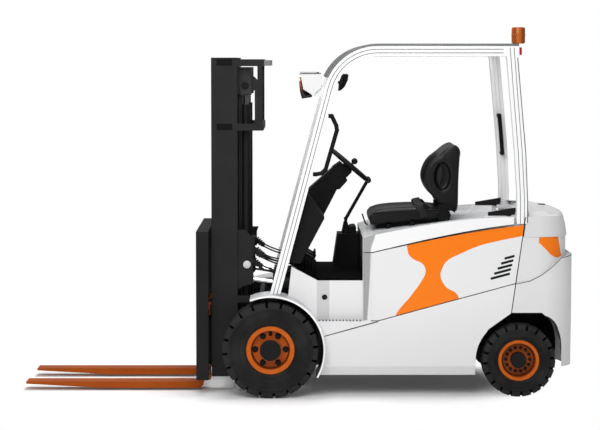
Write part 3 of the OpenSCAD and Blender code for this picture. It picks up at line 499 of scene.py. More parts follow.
def rimPaint(name, node):
    s = rimSet
    r = rimSet[node.split("_")[0]]  # front or rear
    paint = newPaint(name)
    across, up, reach = wheelPlace(paint, node)
    turn = up.math("ARCTAN2", across) * (r["nuts"] / (2 * math.pi)) + 0.5
    off = (turn.math("FRACT") - 0.5) * (2 * math.pi / r["nuts"])  # angle from the nearest nut
    side = reach * off.math("COSINE") - r["ring"]
    along = reach * off.math("SINE")
    dark = (reach < r["hub"]).math("MAXIMUM", side * side + along * along < r["nutSize"] * r["nutSize"])
    # the valve slot is painted black: painted shade where the rim's opening would be
    if r["slot"]:
        half, low, high = r["slot"]
        dark = dark.math("MAXIMUM", (abs(across) < half) * (up > low) * (up < high))
    dust = paint.noise(*s["dustNoise"])
    tone = paint.mix(dust.ramp(*s["dust"]), *s["tones"])
    fadeIn, fadeOut = s["lipFade"]
    lineIn, lineOut = s["lipLine"]
    shaded = paint.mix(r["shade"], tone, s["deep"])
    tone = paint.mix(reach.ramp(r["lip"] - fadeIn, r["lip"] + fadeOut), shaded, tone)
    line = (reach > r["lip"] - lineIn) * (reach < r["lip"] - lineOut)
    tone = paint.mix(line * s["lineShare"], tone, s["line"])
    tone = paint.mix(dark, tone, s["steel"])
    spread, smooth = s["rough"]
    return paint.finish(Base_Color=tone, Roughness=dust * spread + smooth, Specular_IOR_Level=0.12,
                        Normal=paint.bump(dust, *s["skin"]))


metalSet = {"noise": (60.0, 4.0), "tones": (0.9, 1.06), "rough": 0.12, "brushed": (1, 1, 30)}


def metal(name, colour, rough, brushed=(1, 1, 1)):
    s = metalSet
    paint = newPaint(name)
    lines = paint.noise(*s["noise"], brushed)
    dark, light = s["tones"]
    tone = paint.mix(lines, tint(colour, dark), tint(colour, light))
    return paint.finish(Base_Color=tone, Metallic=1.0, Roughness=lines * s["rough"] + rough)


rodSet = {
    "headAt": 1.846, "head": rgb(0.008, 0.008, 0.008),
    "tones": (rgb(0.16, 0.16, 0.17), rgb(0.24, 0.24, 0.25)),
    "rough": (0.4, 0.1, 0.1), "lines": (0.0002, 0.1),
}


def rodSteel(name):
    s = rodSet
    paint = newPaint(name)
    x, y, z = paint.place()
    head = z > s["headAt"]  # painted black above, bare steel below
    lines = paint.noise(*metalSet["noise"], metalSet["brushed"])
    tone = paint.mix(lines, *s["tones"])
    tone = paint.mix(head, tone, s["head"])
    painted, spread, smooth = s["rough"]
    rough = head * painted + lines * spread + smooth
    return paint.finish(Base_Color=tone, Metallic=1.0 - head, Roughness=rough,
                        Normal=paint.bump(lines, *s["lines"]))


lensSet = {
    "ribScale": 60.0, "ribs": (0.001, 0.3), "ribTone": 0.7,
    "shadeBands": 4, "shadeBand": (-0.6, 0.9), "shadeBandTone": 0.45,
}


def lensGlass(name, colour, fade=None, shadeBands=None):
    s = lensSet
    paint = newPaint(name)
    x, y, z = paint.place()
    spot = paint.node("TexCoord", out="Object")
    ribs = paint.node("TexWave", {"bands_direction": "Z"}, {"Vector": spot, "Scale": s["ribScale"]})
    tone = paint.mix(ribs, tint(colour, s["ribTone"]), tint(colour))
    if fade:
        low, high, deep = fade
        tone = paint.mix(z.ramp(low, high), rgb(*deep), tone)
    if shadeBands:
        # painted highlight and shade: bright and dark bands around the centre part, as light falls on a
        # round lens
        cx, cy, cz = centre(shadeBands)
        turn = (y - cy).math("ARCTAN2", x - cx) * s["shadeBands"]
        tone = paint.mix(turn.math("COSINE").ramp(*s["shadeBand"]), tint(colour, s["shadeBandTone"]), tone)
    return paint.finish(Base_Color=tone, Roughness=0.12, Specular_IOR_Level=0.2, Coat_Weight=0.15,
                        Normal=paint.bump(ribs, *s["ribs"]))


tieSet = {"x": (-0.500, -0.404), "rows": ((2.030, 2.070), (1.632, 1.670)), "skin": 0.0065}


def tieEnds(paint):
    x, y, z = paint.place()
    front, back = tieSet["x"]
    rows = sum((z > low) * (z < high) for low, high in tieSet["rows"])
    outside = abs(y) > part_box("outer_mast")[1].y - tieSet["skin"]
    return rows * (x > front) * (x < back) * outside


recessSet = {"centre": (0.906, 1.338), "size": (0.046, 0.082), "behind": 0.18}


def recess(paint):
    x, y, z = paint.place()
    (cx, cz), (rx, rz) = recessSet["centre"], recessSet["size"]
    along, up = (x - cx) / rx, (z - cz) / rz
    return (along * along + up * up < 1.0) * (abs(y) > recessSet["behind"])


# the white bases differ per part: the cast counterweight and the rear cover are darker as painted shade, the
# guard lighter as painted light
finish = {
    "body": whitePaint("bodyWhite"),
    "panel": whitePaint("panelWhite", marks=[panelStripe]),
    "cast": whitePaint("castWhite", 0.74, [castMarks]),
    "deck": whitePaint("deckWhite", 0.90, [shadedTops, postCorner]),
    "cover": whitePaint("coverWhite", 0.70),
    "fender": whitePaint("fenderWhite", 0.92, [fenderLip, shadedTops]),
    "guard": whitePaint("guardWhite", 0.95, [guardGroove]),
    "chassis": whitePaint("chassisWhite", marks=[postCorner, chassisShadeAndBlack]),
    "lamp": whitePaint("lampWhite"),
    "grey": satinPaint("railGrey", (0.16, 0.165, 0.17)),
    "mast": satinPaint("mastBlack", (0.013, 0.013, 0.0135), 0.55, 0.12),
    "outerMast": satinPaint("outerMastBlack", (0.019, 0.019, 0.0195), 0.55, 0.12, marks=tieEnds),
    "black": satinPaint("frameBlack", (0.006, 0.006, 0.0065), 0.5, 0.2),
    "fork": satinPaint("forkOrange", (0.36, 0.068, 0.005), 0.42, 0.09, (0.72, 0.8, (0.20, 0.06, 0.02))),
    "holeLight": satinPaint("holeLightDisc", (0.62, 0.62, 0.63), 0.35),
    "battery": satinPaint("batteryGrey", (0.05, 0.055, 0.06), 0.5),
    "trim": satinPaint("trimGrey", (0.10, 0.10, 0.105), 0.5),
    "plastic": plasticGrain("blackPlastic", (0.0055, 0.0055, 0.006)),
    "mat": plasticGrain("floorRubber", (0.0012, 0.0012, 0.0012), 0.8, 0.04),
    "seat": plasticGrain("seatVinyl", (0.0045, 0.0045, 0.005), 0.40, 0.25, recess),
    "webbing": plasticGrain("beltWebbing", (0.016, 0.016, 0.017), 0.6),
    "seal": plasticGrain("sealRubber", (0.012, 0.012, 0.013), 0.7),
    "amber": lensGlass("amberLens", (0.60, 0.13, 0.010), shadeBands="beacon"),
    "red": lensGlass("redLens", (0.45, 0.02, 0.012)),
    "lampLens": lensGlass("lampLens", (0.34, 0.085, 0.02), (1.86, 1.94, (0.012, 0.002, 0.003))),
    "glass": metal("mirrorGlass", (0.72, 0.74, 0.76), 0.03),
    "chrome": metal("chromeRod", (0.62, 0.63, 0.65), 0.08, metalSet["brushed"]),
    "steel": metal("chainSteel", (0.05, 0.05, 0.05), 0.45),
    "liftRod": rodSteel("liftRod"),
}
nodeFinish = {
    "chassis_frame": "chassis", "front_fenders": "fender", "floor_plate": "mat", "front_cowl": "plastic",
    "side_panels": "panel", "counterweight": "cast", "rear_cover": "cover", "overhead_guard": "guard",
    "roof_bars": "grey", "lever_console": "plastic", "control_levers": "plastic", "pedals": "black",
    "grab_handles": "plastic", "headlights": "lamp", "beacon": "amber", "rear_lamps": "red",
    "view_mirror": "plastic", "battery_block": "battery", "drive_axle": "black", "steer_axle": "black",
    "hood": "deck", "hood_hinges": "black", "seat_base": "plastic", "seat_cushion": "seat",
    "seat_backrest": "seat", "steering_wheel": "plastic", "knuckle_left": "black", "knuckle_right": "black",
    "outer_mast": "outerMast", "lift_barrels": "black", "inner_mast": "mast", "lift_rods": "liftRod",
    "front_chains": "steel", "rear_chains": "steel", "carriage": "mast", "load_backrest": "mast",
    "fork_left": "fork", "fork_right": "fork", "tilt_barrels": "black", "tilt_rods": "chrome",
}
for end in ("front", "rear"):
    for side in ("left", "right"):
        for part, makePaint in (("tyre", tyreRubber), ("rim", rimPaint)):
            name = end + part.title() + side.title()
            node = f"{end}_{part}_{side}"
            finish[name] = makePaint(name, node)
            nodeFinish[node] = name
for name, obj in nodes.items():
    obj.data.materials.clear()
    obj.data.materials.append(finish[nodeFinish[name]])
print("finishes on", len(nodes), "nodes")


# meshes: a shape gathers points and faces, and becomes one piece on one body
class Shape:
    def __init__(self):
        self.verts = []
        self.faces = []

    def add(self, verts, faces):
        start = len(self.verts)
        self.verts += [Vector(v) for v in verts]
        self.faces += [[i + start for i in f] for f in faces]
        return self

    def loft(self, rings):
        count = len(rings[0])
        verts = [v for ring in rings for v in ring]
        faces = []
        for row in range(0, count * (len(rings) - 1), count):
            for j in range(count):
                k = (j + 1) % count
                faces.append([row + j, row + k, row + count + k, row + count + j])
        for row, turn in ((0, -1), (len(rings) - 1, 1)):  # both ends closed by a fan
            ring = [Vector(v) for v in rings[row]]
            verts.append(sum(ring, Vector()) / count)
            hub = len(verts) - 1
            for j in range(count):
                pair = [row * count + j, row * count + (j + 1) % count]
                faces.append([hub] + pair[::turn])
        return self.add(verts, faces)

    def prism(self, outline, low, high):
        return self.loft([[(x, y, z) for x, z in outline] for y in (low, high)])

    def box(self, low, high):
        (a, b, c), (d, e, f) = low, high
        return self.prism([(a, c), (d, c), (d, f), (a, f)], b, e)

    def lathe(self, profile, spot, axis="y", steps=32):
        turn = {"x": Matrix.Rotation(math.pi / 2, 3, "Y"), "y": Matrix.Rotation(-math.pi / 2, 3, "X"),
                "z": Matrix.Identity(3)}[axis]
        angles = [2 * math.pi * i / steps for i in range(steps)]
        rings = []
        for r, h in profile:
            ring = [Vector((r * math.cos(a), r * math.sin(a), h)) for a in angles]
            rings.append([turn @ v + Vector(spot) for v in ring])
        return self.loft(rings)

    def tube(self, points, radius, steps=12, flat=None):
        points = [Vector(p) for p in points]
        wide, high = radius if isinstance(radius, tuple) else (radius, radius)
        rings = []
        side = None
        for i, p in enumerate(points):
            along = (points[min(i + 1, len(points) - 1)] - points[max(i - 1, 0)]).normalized()
            if side is None:
                side = along.orthogonal().normalized() if flat is None else Vector(flat)
            side = (side - along * side.dot(along)).normalized()
            up = along.cross(side)
            rings.append([p + side * wide * math.cos(a) + up * high * math.sin(a)
                          for a in (2 * math.pi * k / steps for k in range(steps))])
        return self.loft(rings)

    def mirrored(self):
        return self.add([(v.x, -v.y, v.z) for v in self.verts], [f[::-1] for f in self.faces])

    def piece(self, name, finishName, body, smooth=40):
        mesh = bpy.data.meshes.new(name)
        mesh.from_pydata(self.verts, [], self.faces)
        made = bmesh.new()
        made.from_mesh(mesh)
        bmesh.ops.recalc_face_normals(made, faces=made.faces)
        made.to_mesh(mesh)
        made.free()
        mesh.shade_smooth()
        mesh.set_sharp_from_angle(angle=math.radians(smooth))
        obj = bpy.data.objects.new(name, mesh)
        scene.collection.objects.link(obj)
        mesh.materials.append(finish[finishName])
        if body:
            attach(obj, body)
        return obj


def softStep(low, high, value):
    t = max(0.0, min(1.0, (value - low) / (high - low)))
    return t * t * (3 - 2 * t)


def curveThrough(points, count, closed=False):
    points = [Vector(p) for p in points]
    n = len(points)
    pick = (lambda i: points[i % n]) if closed else (lambda i: points[max(0, min(n - 1, i))])
    fine = []
    for i in range(n if closed else n - 1):
        a, b, c, d = pick(i - 1), pick(i), pick(i + 1), pick(i + 2)
        for k in range(16):
            t = k / 16
            bend = (2 * a - 5 * b + 4 * c - d) * t * t
            twist = (3 * b - a - 3 * c + d) * t ** 3
            fine.append(0.5 * (2 * b + (c - a) * t + bend + twist))
    fine.append(fine[0] if closed else points[-1])
    reach = [0.0]
    for a, b in zip(fine, fine[1:]):
        reach.append(reach[-1] + (b - a).length)
    made = []
    for i in range(count):  # evenly spaced along the curve
        goal = reach[-1] * i / (count if closed else count - 1)
        k = next(j for j in range(1, len(reach)) if reach[j] >= goal - 1e-9)
        t = (goal - reach[k - 1]) / max(reach[k] - reach[k - 1], 1e-9)
        made.append(fine[k - 1].lerp(fine[k], t))
    return made


# seat: two lofted pads, swollen by a short cloth run
seatLow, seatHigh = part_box("seat_cushion")
padSet = {
    "drop": 0.020, "pressure": 4.0, "frames": 20,
    "inner": [0.197 - 0.0205 * i for i in range(1, 10)],  # rings between the two sides
}
cushionSet = {
    "profile": [(0.004, 0.078), (0.010, 0.040), (0.034, 0.024), (0.25, 0.049), (0.506, 0.078),
                (0.516, 0.096), (0.508, 0.114), (0.430, 0.130), (0.300, 0.136), (0.130, 0.127),
                (0.036, 0.108)],
    "ends": [(0.239, 0.955, 0.66), (0.236, 0.972, 0.80), (0.229, 0.988, 0.91), (0.216, 0.996, 0.97),
             (0.197, 1.0, 1.0)],  # place across, shares of length and height
    "middle": 0.068, "dip": 0.016, "dipIn": 0.10, "dipOut": 0.19, "dipTop": 0.05, "ring": 84, "swell": 0.006,
}
backrestSet = {
    "profile": [(0.438, 0.154), (0.482, 0.137), (0.545, 0.108), (0.560, 0.130), (0.563, 0.299),
                (0.570, 0.438), (0.577, 0.484), (0.566, 0.515), (0.543, 0.530), (0.503, 0.515),
                (0.454, 0.480), (0.401, 0.436), (0.365, 0.374), (0.352, 0.313), (0.365, 0.258),
                (0.395, 0.208), (0.428, 0.173)],
    "ends": [(0.226, 0.82), (0.2255, 0.90), (0.221, 0.96), (0.213, 0.988), (0.200, 1.0)],
    "oval": (0.462, 0.332, 0.047, 0.084),  # centre and half sizes
    "ovalEnds": [(0.196, 0.55), (0.198, 0.93), (0.205, 0.99), (0.2235, 1.06), (0.2258, 1.2)],
    "dish": 0.456, "dishIn": 0.09, "dishOut": 0.205, "ring": 96, "swell": 0.005,
}


def swell(obj, cap):
    rest = [v.co.copy() for v in obj.data.vertices]
    cloth = obj.modifiers.new("stuffing", "CLOTH")
    cloth.settings.use_pressure = True
    cloth.settings.uniform_pressure_force = padSet["pressure"]
    cloth.settings.effector_weights.gravity = 0.0
    cloth.point_cache.frame_end = padSet["frames"]
    for step in range(1, padSet["frames"] + 1):
        scene.frame_set(step)
    shown = obj.evaluated_get(bpy.context.evaluated_depsgraph_get())
    moved = [v.co.copy() for v in shown.data.vertices]
    obj.modifiers.remove(cloth)
    scene.frame_set(1)
    for vert, old, new in zip(obj.data.vertices, rest, moved):
        shift = new - old
        vert.co = old + shift * min(1.0, cap / max(shift.length, 1e-9))


def stuff(pad, cap):
    swell(pad, cap)
    rounding = pad.modifiers.new("round", "SUBSURF")
    rounding.levels = 1
    rounding.render_levels = 1


def seatAt(x, z):
    return Vector((seatLow.x + x, 0, seatLow.z - padSet["drop"] + z))


def addCushion():
    s = cushionSet
    base = curveThrough([seatAt(x, z) for x, z in s["profile"]], s["ring"], True)
    mid = Vector(((seatLow.x + seatHigh.x) / 2, 0, seatLow.z + s["middle"]))
    half = s["ends"] + [(y, 1.0, 1.0) for y in padSet["inner"]]
    rings = []
    for y, sx, sz in [(-y, sx, sz) for y, sx, sz in half] + half[::-1]:
        sink = s["dip"] * (1 - softStep(s["dipIn"], s["dipOut"], abs(y)))
        ring = []
        for p in base:
            top = softStep(0.0, s["dipTop"], p.z - mid.z)
            ring.append((mid.x + (p.x - mid.x) * sx, y, mid.z + (p.z - mid.z) * sz - sink * top))
        rings.append(ring)
    pad = Shape().loft(rings).piece("seatCushionPad", "seat", "hood", 180)
    stuff(pad, s["swell"])
    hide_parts("seat_cushion")


def addBackrest():
    s = backrestSet
    base = curveThrough([seatAt(x, z) for x, z in s["profile"]], s["ring"], True)
    cx, cz, rx, rz = s["oval"]
    mid = seatAt(cx, cz)
    turns = [math.atan2((p.z - mid.z) / rz, (p.x - mid.x) / rx) for p in base]
    half = []
    for y, k in s["ovalEnds"]:  # the sunk oval in the side
        half.append((y, [(mid.x + rx * k * math.cos(a), mid.z + rz * k * math.sin(a)) for a in turns]))
    for y, k in s["ends"]:
        half.append((y, [(mid.x + (p.x - mid.x) * k, mid.z + (p.z - mid.z) * k) for p in base]))
    edge = seatLow.x + s["dish"]
    for y in padSet["inner"]:  # the front dished towards the middle
        keep = softStep(s["dishIn"], s["dishOut"], y)
        half.append((y, [(p.x if p.x > edge else edge + (p.x - edge) * keep, p.z) for p in base]))
    rings = [[(x, -y, z) for x, z in ring] for y, ring in half]
    rings += [[(x, y, z) for x, z in ring] for y, ring in half[::-1]]
    pad = Shape().loft(rings).piece("seatBackrestPad", "seat", "hood", 180)
    stuff(pad, s["swell"])
    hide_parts("seat_backrest")


addCushion()
addBackrest()
print("seat pads stuffed")


# seals in the seams, and a line along the belt
sealSet = {
    "side": 0.5262, "size": 0.0026, "inset": 0.0028, "steps": 16,
    "hood": ((0.456, 1.322), 0.893, 0.171), "hoodBend": 0.4,  # length, height at the front, rise
    "back": (0.53, 1.108), "backLean": (1.313, 0.52, 0.139),  # place at a height, lean
    "skirt": ((0.165, 0.3752), (1.330, 0.6950)),
}
beltSet = {
    "line": [(1.3376, 0.697), (1.422, 0.715), (1.492, 0.750), (1.557, 0.800), (1.617, 0.855), (1.70, 0.865)],
    "steps": 8, "size": 0.0022, "sink": 0.0006, "back": 1.6994,
    "corner": (1.52, 0.35, 0.18),  # where the bend starts, its centre, its radius
}


def addSeals():
    s = sealSet
    share = [i / s["steps"] for i in range(s["steps"] + 1)]
    (x0, x1), base, rise = s["hood"]
    bend = s["hoodBend"]
    hoodLine = []
    for u in share:
        crown = (1 - bend) * u + bend * math.sin(math.pi / 2 * u)
        hoodLine.append((x0 + (x1 - x0) * u, base + rise * crown - s["inset"]))
    low, high = s["back"]
    foot, level, lean = s["backLean"]
    backLine = [(foot + (z - level) * lean - s["inset"], z) for z in (low + (high - low) * u for u in share)]
    seals = Shape()
    for line in (hoodLine, backLine, s["skirt"]):
        seals.tube([(x, s["side"], z) for x, z in line], s["size"], 8)
    seals.mirrored().piece("seamSeals", "seal", "chassis")


def addBelt():
    s = beltSet
    start, inner, bend = s["corner"]
    path = []
    for (xa, za), (xb, zb) in zip(s["line"], s["line"][1:]):
        for k in range(s["steps"]):
            x, z = xa + (xb - xa) * k / s["steps"], za + (zb - za) * k / s["steps"]
            past = max(0.0, x - start)
            path.append((x, inner + math.sqrt(max(0.0, bend * bend - past * past)) - s["sink"], z))
    last = s["line"][-1][1]
    path += [(s["back"], inner, last), (s["back"], 0.0, last)]
    Shape().tube(path, s["size"], 8).mirrored().piece("beltLine", "trim", "chassis")


# vents, grey lines as painted shade along the rear pillars' edges, fillers behind the front posts, blank
# plugs
ventSet = {
    "mesh": ((1.11, 0.5095, 0.700), (1.328, 0.513, 0.885)),
    "count": 5, "first": (1.182, 0.727), "step": (0.021, 0.031), "length": 0.116, "shorter": 0.014,
    "under": 0.0045, "over": 0.0105, "slope": 15, "y": (0.513, 0.5306),
}
panelSet = {
    "pillar": [(1.407, 1.070), (1.407, 1.2017), (1.393, 1.5045), (1.364, 1.8177), (1.340, 2.080)],
    "pillarInset": 0.003, "pillarSide": guardSet["face"] + 0.0002, "pillarSize": (0.003, 0.0008),
    "post": ((0.4498, 0.515, 0.474), (0.4568, 0.5294, 0.886)),
    "plug": [(0.0165, 0.0), (0.0165, 0.0012), (0.0132, 0.0028)], "plugAt": (0.166, 0.4755, 0.610),
}


def addVents():
    s = ventSet
    Shape().box(*s["mesh"]).mirrored().piece("ventMesh", "seal", "chassis")
    louvres = Shape()
    for i in range(s["count"]):
        x, z = s["first"][0] + s["step"][0] * i, s["first"][1] + s["step"][1] * i
        size = s["length"] - s["shorter"] * i
        rise = size * math.tan(math.radians(s["slope"]))
        low, high = z - s["under"], z + s["over"]
        louvres.prism([(x, low), (x + size, low + rise), (x + size, high + rise), (x, high)], *s["y"])
    louvres.mirrored().piece("ventLouvres", "seal", "chassis")


def addPanelTrim():
    s = panelSet
    # a thin grey strip along the rear pillars' outer edges: painted shade
    edge = [(x - s["pillarInset"], s["pillarSide"], z) for x, z in s["pillar"]]
    edges = Shape().tube(edge, s["pillarSize"], 8, (1, 0, 0))
    edges.mirrored().piece("pillarShadeLines", "grey", "chassis")
    Shape().box(*s["post"]).mirrored().piece("postFillers", "body", "chassis")
    Shape().lathe(s["plug"], s["plugAt"]).mirrored().piece("framePlugs", "seal", "chassis")


# battery cells under the hood and treads on the side steps
batteryLow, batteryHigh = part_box("battery_block")
cellSet = {
    "rows": (4, 6), "edge": 0.03, "gap": 0.008, "sink": 0.001, "lid": 0.012,
    "cap": [(0.016, 0.0), (0.016, 0.007), (0.0112, 0.0091), (0.002, 0.0091)],
}
treadSet = {"x": (0.135, 0.385), "count": 13, "y": (0.478, 0.524), "z": (0.467, 0.4715), "half": 0.005}


def addCells():
    s = cellSet
    lids, caps = Shape(), Shape()
    across, along = s["rows"]
    x0, y0 = batteryLow.x + s["edge"], batteryLow.y + s["edge"]
    dx = (batteryHigh.x - batteryLow.x - 2 * s["edge"]) / across
    dy = (batteryHigh.y - batteryLow.y - 2 * s["edge"]) / along
    base = batteryHigh.z - s["sink"]
    top = base + s["lid"]
    for i in range(across):
        for j in range(along):
            x, y = x0 + dx * i, y0 + dy * j
            lids.box((x + s["gap"], y + s["gap"], base), (x + dx - s["gap"], y + dy - s["gap"], top))
            caps.lathe(s["cap"], (x + dx / 2, y + dy / 2, top), "z", 20)
    lids.piece("cellLids", "plastic", "chassis")
    caps.piece("cellCaps", "grey", "chassis")


def addTreads():
    s = treadSet
    treads = Shape()
    for i in range(s["count"]):
        x = s["x"][0] + (s["x"][1] - s["x"][0]) * i / (s["count"] - 1)
        treads.box((x - s["half"], s["y"][0], s["z"][0]), (x + s["half"], s["y"][1], s["z"][1]))
    treads.mirrored().piece("stepTreads", "trim", "chassis")


# hood front: a bent sheet that closes the hood between its corner posts
hoodFrontSet = {
    "line": [(0.4785, 0.9975), (0.466, 0.9965), (0.435, 0.9880), (0.412, 0.9812), (0.4005, 0.9785)],
    "half": 0.474, "skin": 0.0016, "count": 30,
}


def addHoodFront():
    s = hoodFrontSet
    path = curveThrough([(x, 0, z) for x, z in s["line"]], s["count"])
    y = s["half"]
    rings = []
    for i, p in enumerate(path):
        along = (path[min(i + 1, s["count"] - 1)] - path[max(i - 1, 0)]).normalized()
        out = Vector((along.z, 0, -along.x)) * s["skin"]
        a, b = p + out, p - out
        rings.append([(a.x, -y, a.z), (a.x, y, a.z), (b.x, y, b.z), (b.x, -y, b.z)])
    Shape().loft(rings).piece("hoodFront", "deck", "hood")


# rear cover: a crowned cap whose back is bowed, and its round latch
crownSet = {
    "front": 1.415, "side": 0.522, "flat": 0.34, "corner": 0.19, "middle": 1.45, "steps": 10,
    "rings": [(0.990, 1.694, 1.660, 1.0), (1.050, 1.693, 1.645, 1.0), (1.080, 1.690, 1.630, 1.0),
              (1.100, 1.683, 1.608, 1.0), (1.110, 1.673, 1.590, 1.0), (1.115, 1.660, 1.576, 1.0),
              (1.126, 1.652, 1.570, 0.94), (1.136, 1.645, 1.565, 0.82), (1.142, 1.640, 1.560, 0.62),
              (1.144, 1.640, 1.560, 0.30)],  # height, back at the middle, back at the corner, size
    "latch": [(0.024, 0.0), (0.024, 0.007), (0.0204, 0.009), (0.003, 0.009)],
    "latchAt": (1.560, 0.0, 1.1395),
}


def addCrown():
    s = crownSet
    n = s["steps"]
    turns = [math.pi / 2 * k / n for k in range(1, n + 1)]
    rings = []
    for z, back, corner, size in s["rings"]:
        half = [(back - (back - corner) * u * u, s["flat"] * u) for u in (k / n for k in range(n + 1))]
        for t in turns:
            y = s["flat"] + (s["side"] - s["flat"]) * math.sin(t)
            half.append((corner - s["corner"] * (1 - math.cos(t)), y))
        half.append((s["front"], s["side"]))
        outline = half + [(x, -y) for x, y in half[:0:-1]]
        rings.append([(s["middle"] + (x - s["middle"]) * size, y * size, z) for x, y in outline])
    Shape().loft(rings).piece("coverCrown", "cover", "chassis", 50)
    Shape().lathe(s["latch"], s["latchAt"], "z").piece("coverLatch", "trim", "chassis")


# lamps: a tinted wrap under each headlight, a grey strip of painted shade along its top, its front glass,
# and the beacon's dome
lampLow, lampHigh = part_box("headlights")
headlightSet = {
    "at": (lampLow.x + 0.149, lampHigh.z - 0.084), "wrapY": (0.4085, 0.5225),
    "wrap": [(-0.152, 0.064), (-0.1545, 0.02), (-0.154, -0.018), (-0.148, -0.048), (-0.140, -0.070),
             (-0.079, -0.0605), (-0.079, -0.047), (-0.116, -0.050), (-0.133, -0.030), (-0.141, 0.0),
             (-0.1445, 0.02), (-0.147, 0.064)],
    "shadeStripX": (-0.001, 0.124), "shadeStripY": (0.411, 0.5215), "shadeStripZ": (-0.004, 0.0025),
    "glassAt": (0.465, 0.035),
    "glass": [(0.041, 0.0), (0.041, -0.006), (0.03526, -0.0075), (0.03362, -0.004), (0.0205, -0.0075),
              (0.004, -0.009)],
}
domeSet = {
    "profile": [(0.036, 0.0), (0.036, 0.003), (0.0415, 0.005), (0.0415, 0.046), (0.0432, 0.048),
                (0.0432, 0.054), (0.0415, 0.056), (0.0415, 0.091), (0.038, 0.098), (0.020, 0.100),
                (0.002, 0.100)],
    "steps": 48,
}


def addHeadlights():
    s = headlightSet
    x, z = s["at"]
    wrap = Shape().prism([(x + a, z + b) for a, b in s["wrap"]], *s["wrapY"])
    wrap.mirrored().piece("lampWraps", "lampLens", "chassis")
    # a thin grey strip on each headlight's top: painted shade
    low, high = [(lampLow.x + a, b, lampHigh.z + c) for a, b, c in zip(s["shadeStripX"], s["shadeStripY"], s["shadeStripZ"])]
    Shape().box(low, high).mirrored().piece("lampTopShades", "trim", "chassis")
    y, rise = s["glassAt"]
    glass = Shape().lathe(s["glass"], (lampLow.x, y, z + rise), "x")
    glass.mirrored().piece("lampGlass", "glass", "chassis")


def addDome():
    x, y, z = centre("beacon")
    foot = (x, y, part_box("beacon")[0].z)
    dome = Shape().lathe(domeSet["profile"], foot, "z", domeSet["steps"])
    dome = dome.piece("beaconDome", "amber", "chassis")
    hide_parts("beacon")


# cab: mirror shell with its glass, and the arm rest on the lever console
cabSet = {
    "shell": [(0.249, 1.877), (0.254, 1.930), (0.272, 1.972), (0.283, 1.981), (0.309, 1.977), (0.304, 1.942),
              (0.286, 1.905), (0.262, 1.880)],
    "glass": [(0.3088, 1.974), (0.3046, 1.9415), (0.2868, 1.9043), (0.2640, 1.8815), (0.2655, 1.8808),
              (0.2884, 1.9036), (0.3063, 1.9411), (0.3104, 1.974)],
    "shellY": (-0.515, -0.375), "glassY": (-0.511, -0.379),
    "rest": [(0.316, 0.0), (0.330, 0.036), (0.346, 0.050), (0.374, 0.053), (0.384, 0.044), (0.384, 0.0)],
    "restHalf": 0.094, "restDrop": 0.071,
}


def addCab():
    s = cabSet
    Shape().prism(s["shell"], *s["shellY"]).piece("mirrorShell", "plastic", "chassis")
    Shape().prism(s["glass"], *s["glassY"]).piece("mirrorFace", "glass", "chassis")
    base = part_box("lever_console")[1].z - s["restDrop"]
    mid = centre("lever_console")[1]
    rest = Shape().prism([(x, base + z) for x, z in s["rest"]], mid - s["restHalf"], mid + s["restHalf"])
    rest.piece("consoleRest", "plastic", "chassis")


# seat fittings: lap belt, recliner covers, slide lugs and piping
lapBeltSet = {
    "path": [(0.792, 0.246, 1.080), (0.780, 0.2465, 1.120), (0.766, 0.243, 1.142), (0.766, 0.222, 1.166),
             (0.770, 0.190, 1.164), (0.773, 0.14, 1.150), (0.775, 0.06, 1.142), (0.775, 0.0, 1.142)],
    "size": (0.025, 0.0022), "buckleY": (0.170, 0.233),
    "buckle": [(0.764, 1.124), (0.822, 1.124), (0.826, 1.146), (0.812, 1.161), (0.776, 1.164),
               (0.760, 1.150)],
}
seatFitSet = {
    "disc": [(0.041, 0.0), (0.041, 0.034), (0.03772, 0.038), (0.02952, 0.0385), (0.02788, 0.036),
             (0.012, 0.036)],
    "discAt": (0.917, 0.205, 1.088), "armY": (0.205, 0.226),
    "arm": [(0.884, 1.118), (0.968, 1.122), (0.988, 1.108), (0.988, 1.168), (0.884, 1.160)],
    "lug": [(-0.016, -0.014), (0.016, -0.012), (0.012, 0.014), (-0.010, 0.014)], "lugY": (0.19, 0.243),
    "lugsAt": ((0.57, 1.023), (0.718, 1.043)),
    "piping": [(0.470, 1.106), (0.488, 1.110), (0.60, 1.118), (0.742, 1.127), (0.90, 1.130)],
    "pipingY": 0.2392, "pipingSize": 0.0032,
    "lever": [(0.454, 0.15, 1.002), (0.440, 0.15, 1.012), (0.419, 0.15, 1.070)], "leverSize": 0.005,
    "boss": (0.893, 1.344), "bossSize": (0.021, 0.062), "bossLean": 0.12, "bossSteps": 32,
    "bossRings": [(0.190, 1.0), (0.206, 1.0), (0.214, 0.9), (0.219, 0.62), (0.2205, 0.2)],
}


def addLapBelt():
    s = lapBeltSet
    belt = Shape().tube(curveThrough(s["path"], 40), s["size"], 12, (1, 0, 0))
    belt.mirrored().piece("lapBelt", "webbing", "hood")
    Shape().prism(s["buckle"], *s["buckleY"]).mirrored().piece("beltBuckles", "plastic", "hood")


def addSeatFittings():
    s = seatFitSet
    Shape().lathe(s["disc"], s["discAt"]).mirrored().piece("reclinerCovers", "plastic", "hood")
    Shape().prism(s["arm"], *s["armY"]).mirrored().piece("reclinerArms", "plastic", "hood")
    lugs = Shape()
    for x, z in s["lugsAt"]:
        lugs.prism([(x + a, z + b) for a, b in s["lug"]], *s["lugY"])
    lugs.mirrored().piece("slideLugs", "plastic", "hood")
    pipe = curveThrough([(x, s["pipingY"], z) for x, z in s["piping"]], 30)
    Shape().tube(pipe, s["pipingSize"], 8).mirrored().piece("cushionPiping", "webbing", "hood")
    Shape().tube(curveThrough(s["lever"], 12), s["leverSize"], 10).piece("slideLever", "plastic", "hood")
    (cx, cz), (rx, rz) = s["boss"], s["bossSize"]
    turns = [2 * math.pi * k / s["bossSteps"] for k in range(s["bossSteps"])]
    rings = []
    for y, k in s["bossRings"]:
        ring = []
        for a in turns:
            lean = s["bossLean"] * rz * k * math.sin(a)
            ring.append((cx + rx * k * math.cos(a) + lean, y, cz + rz * k * math.sin(a)))
        rings.append(ring)
    Shape().loft(rings).mirrored().piece("recessBosses", "webbing", "hood", 60)
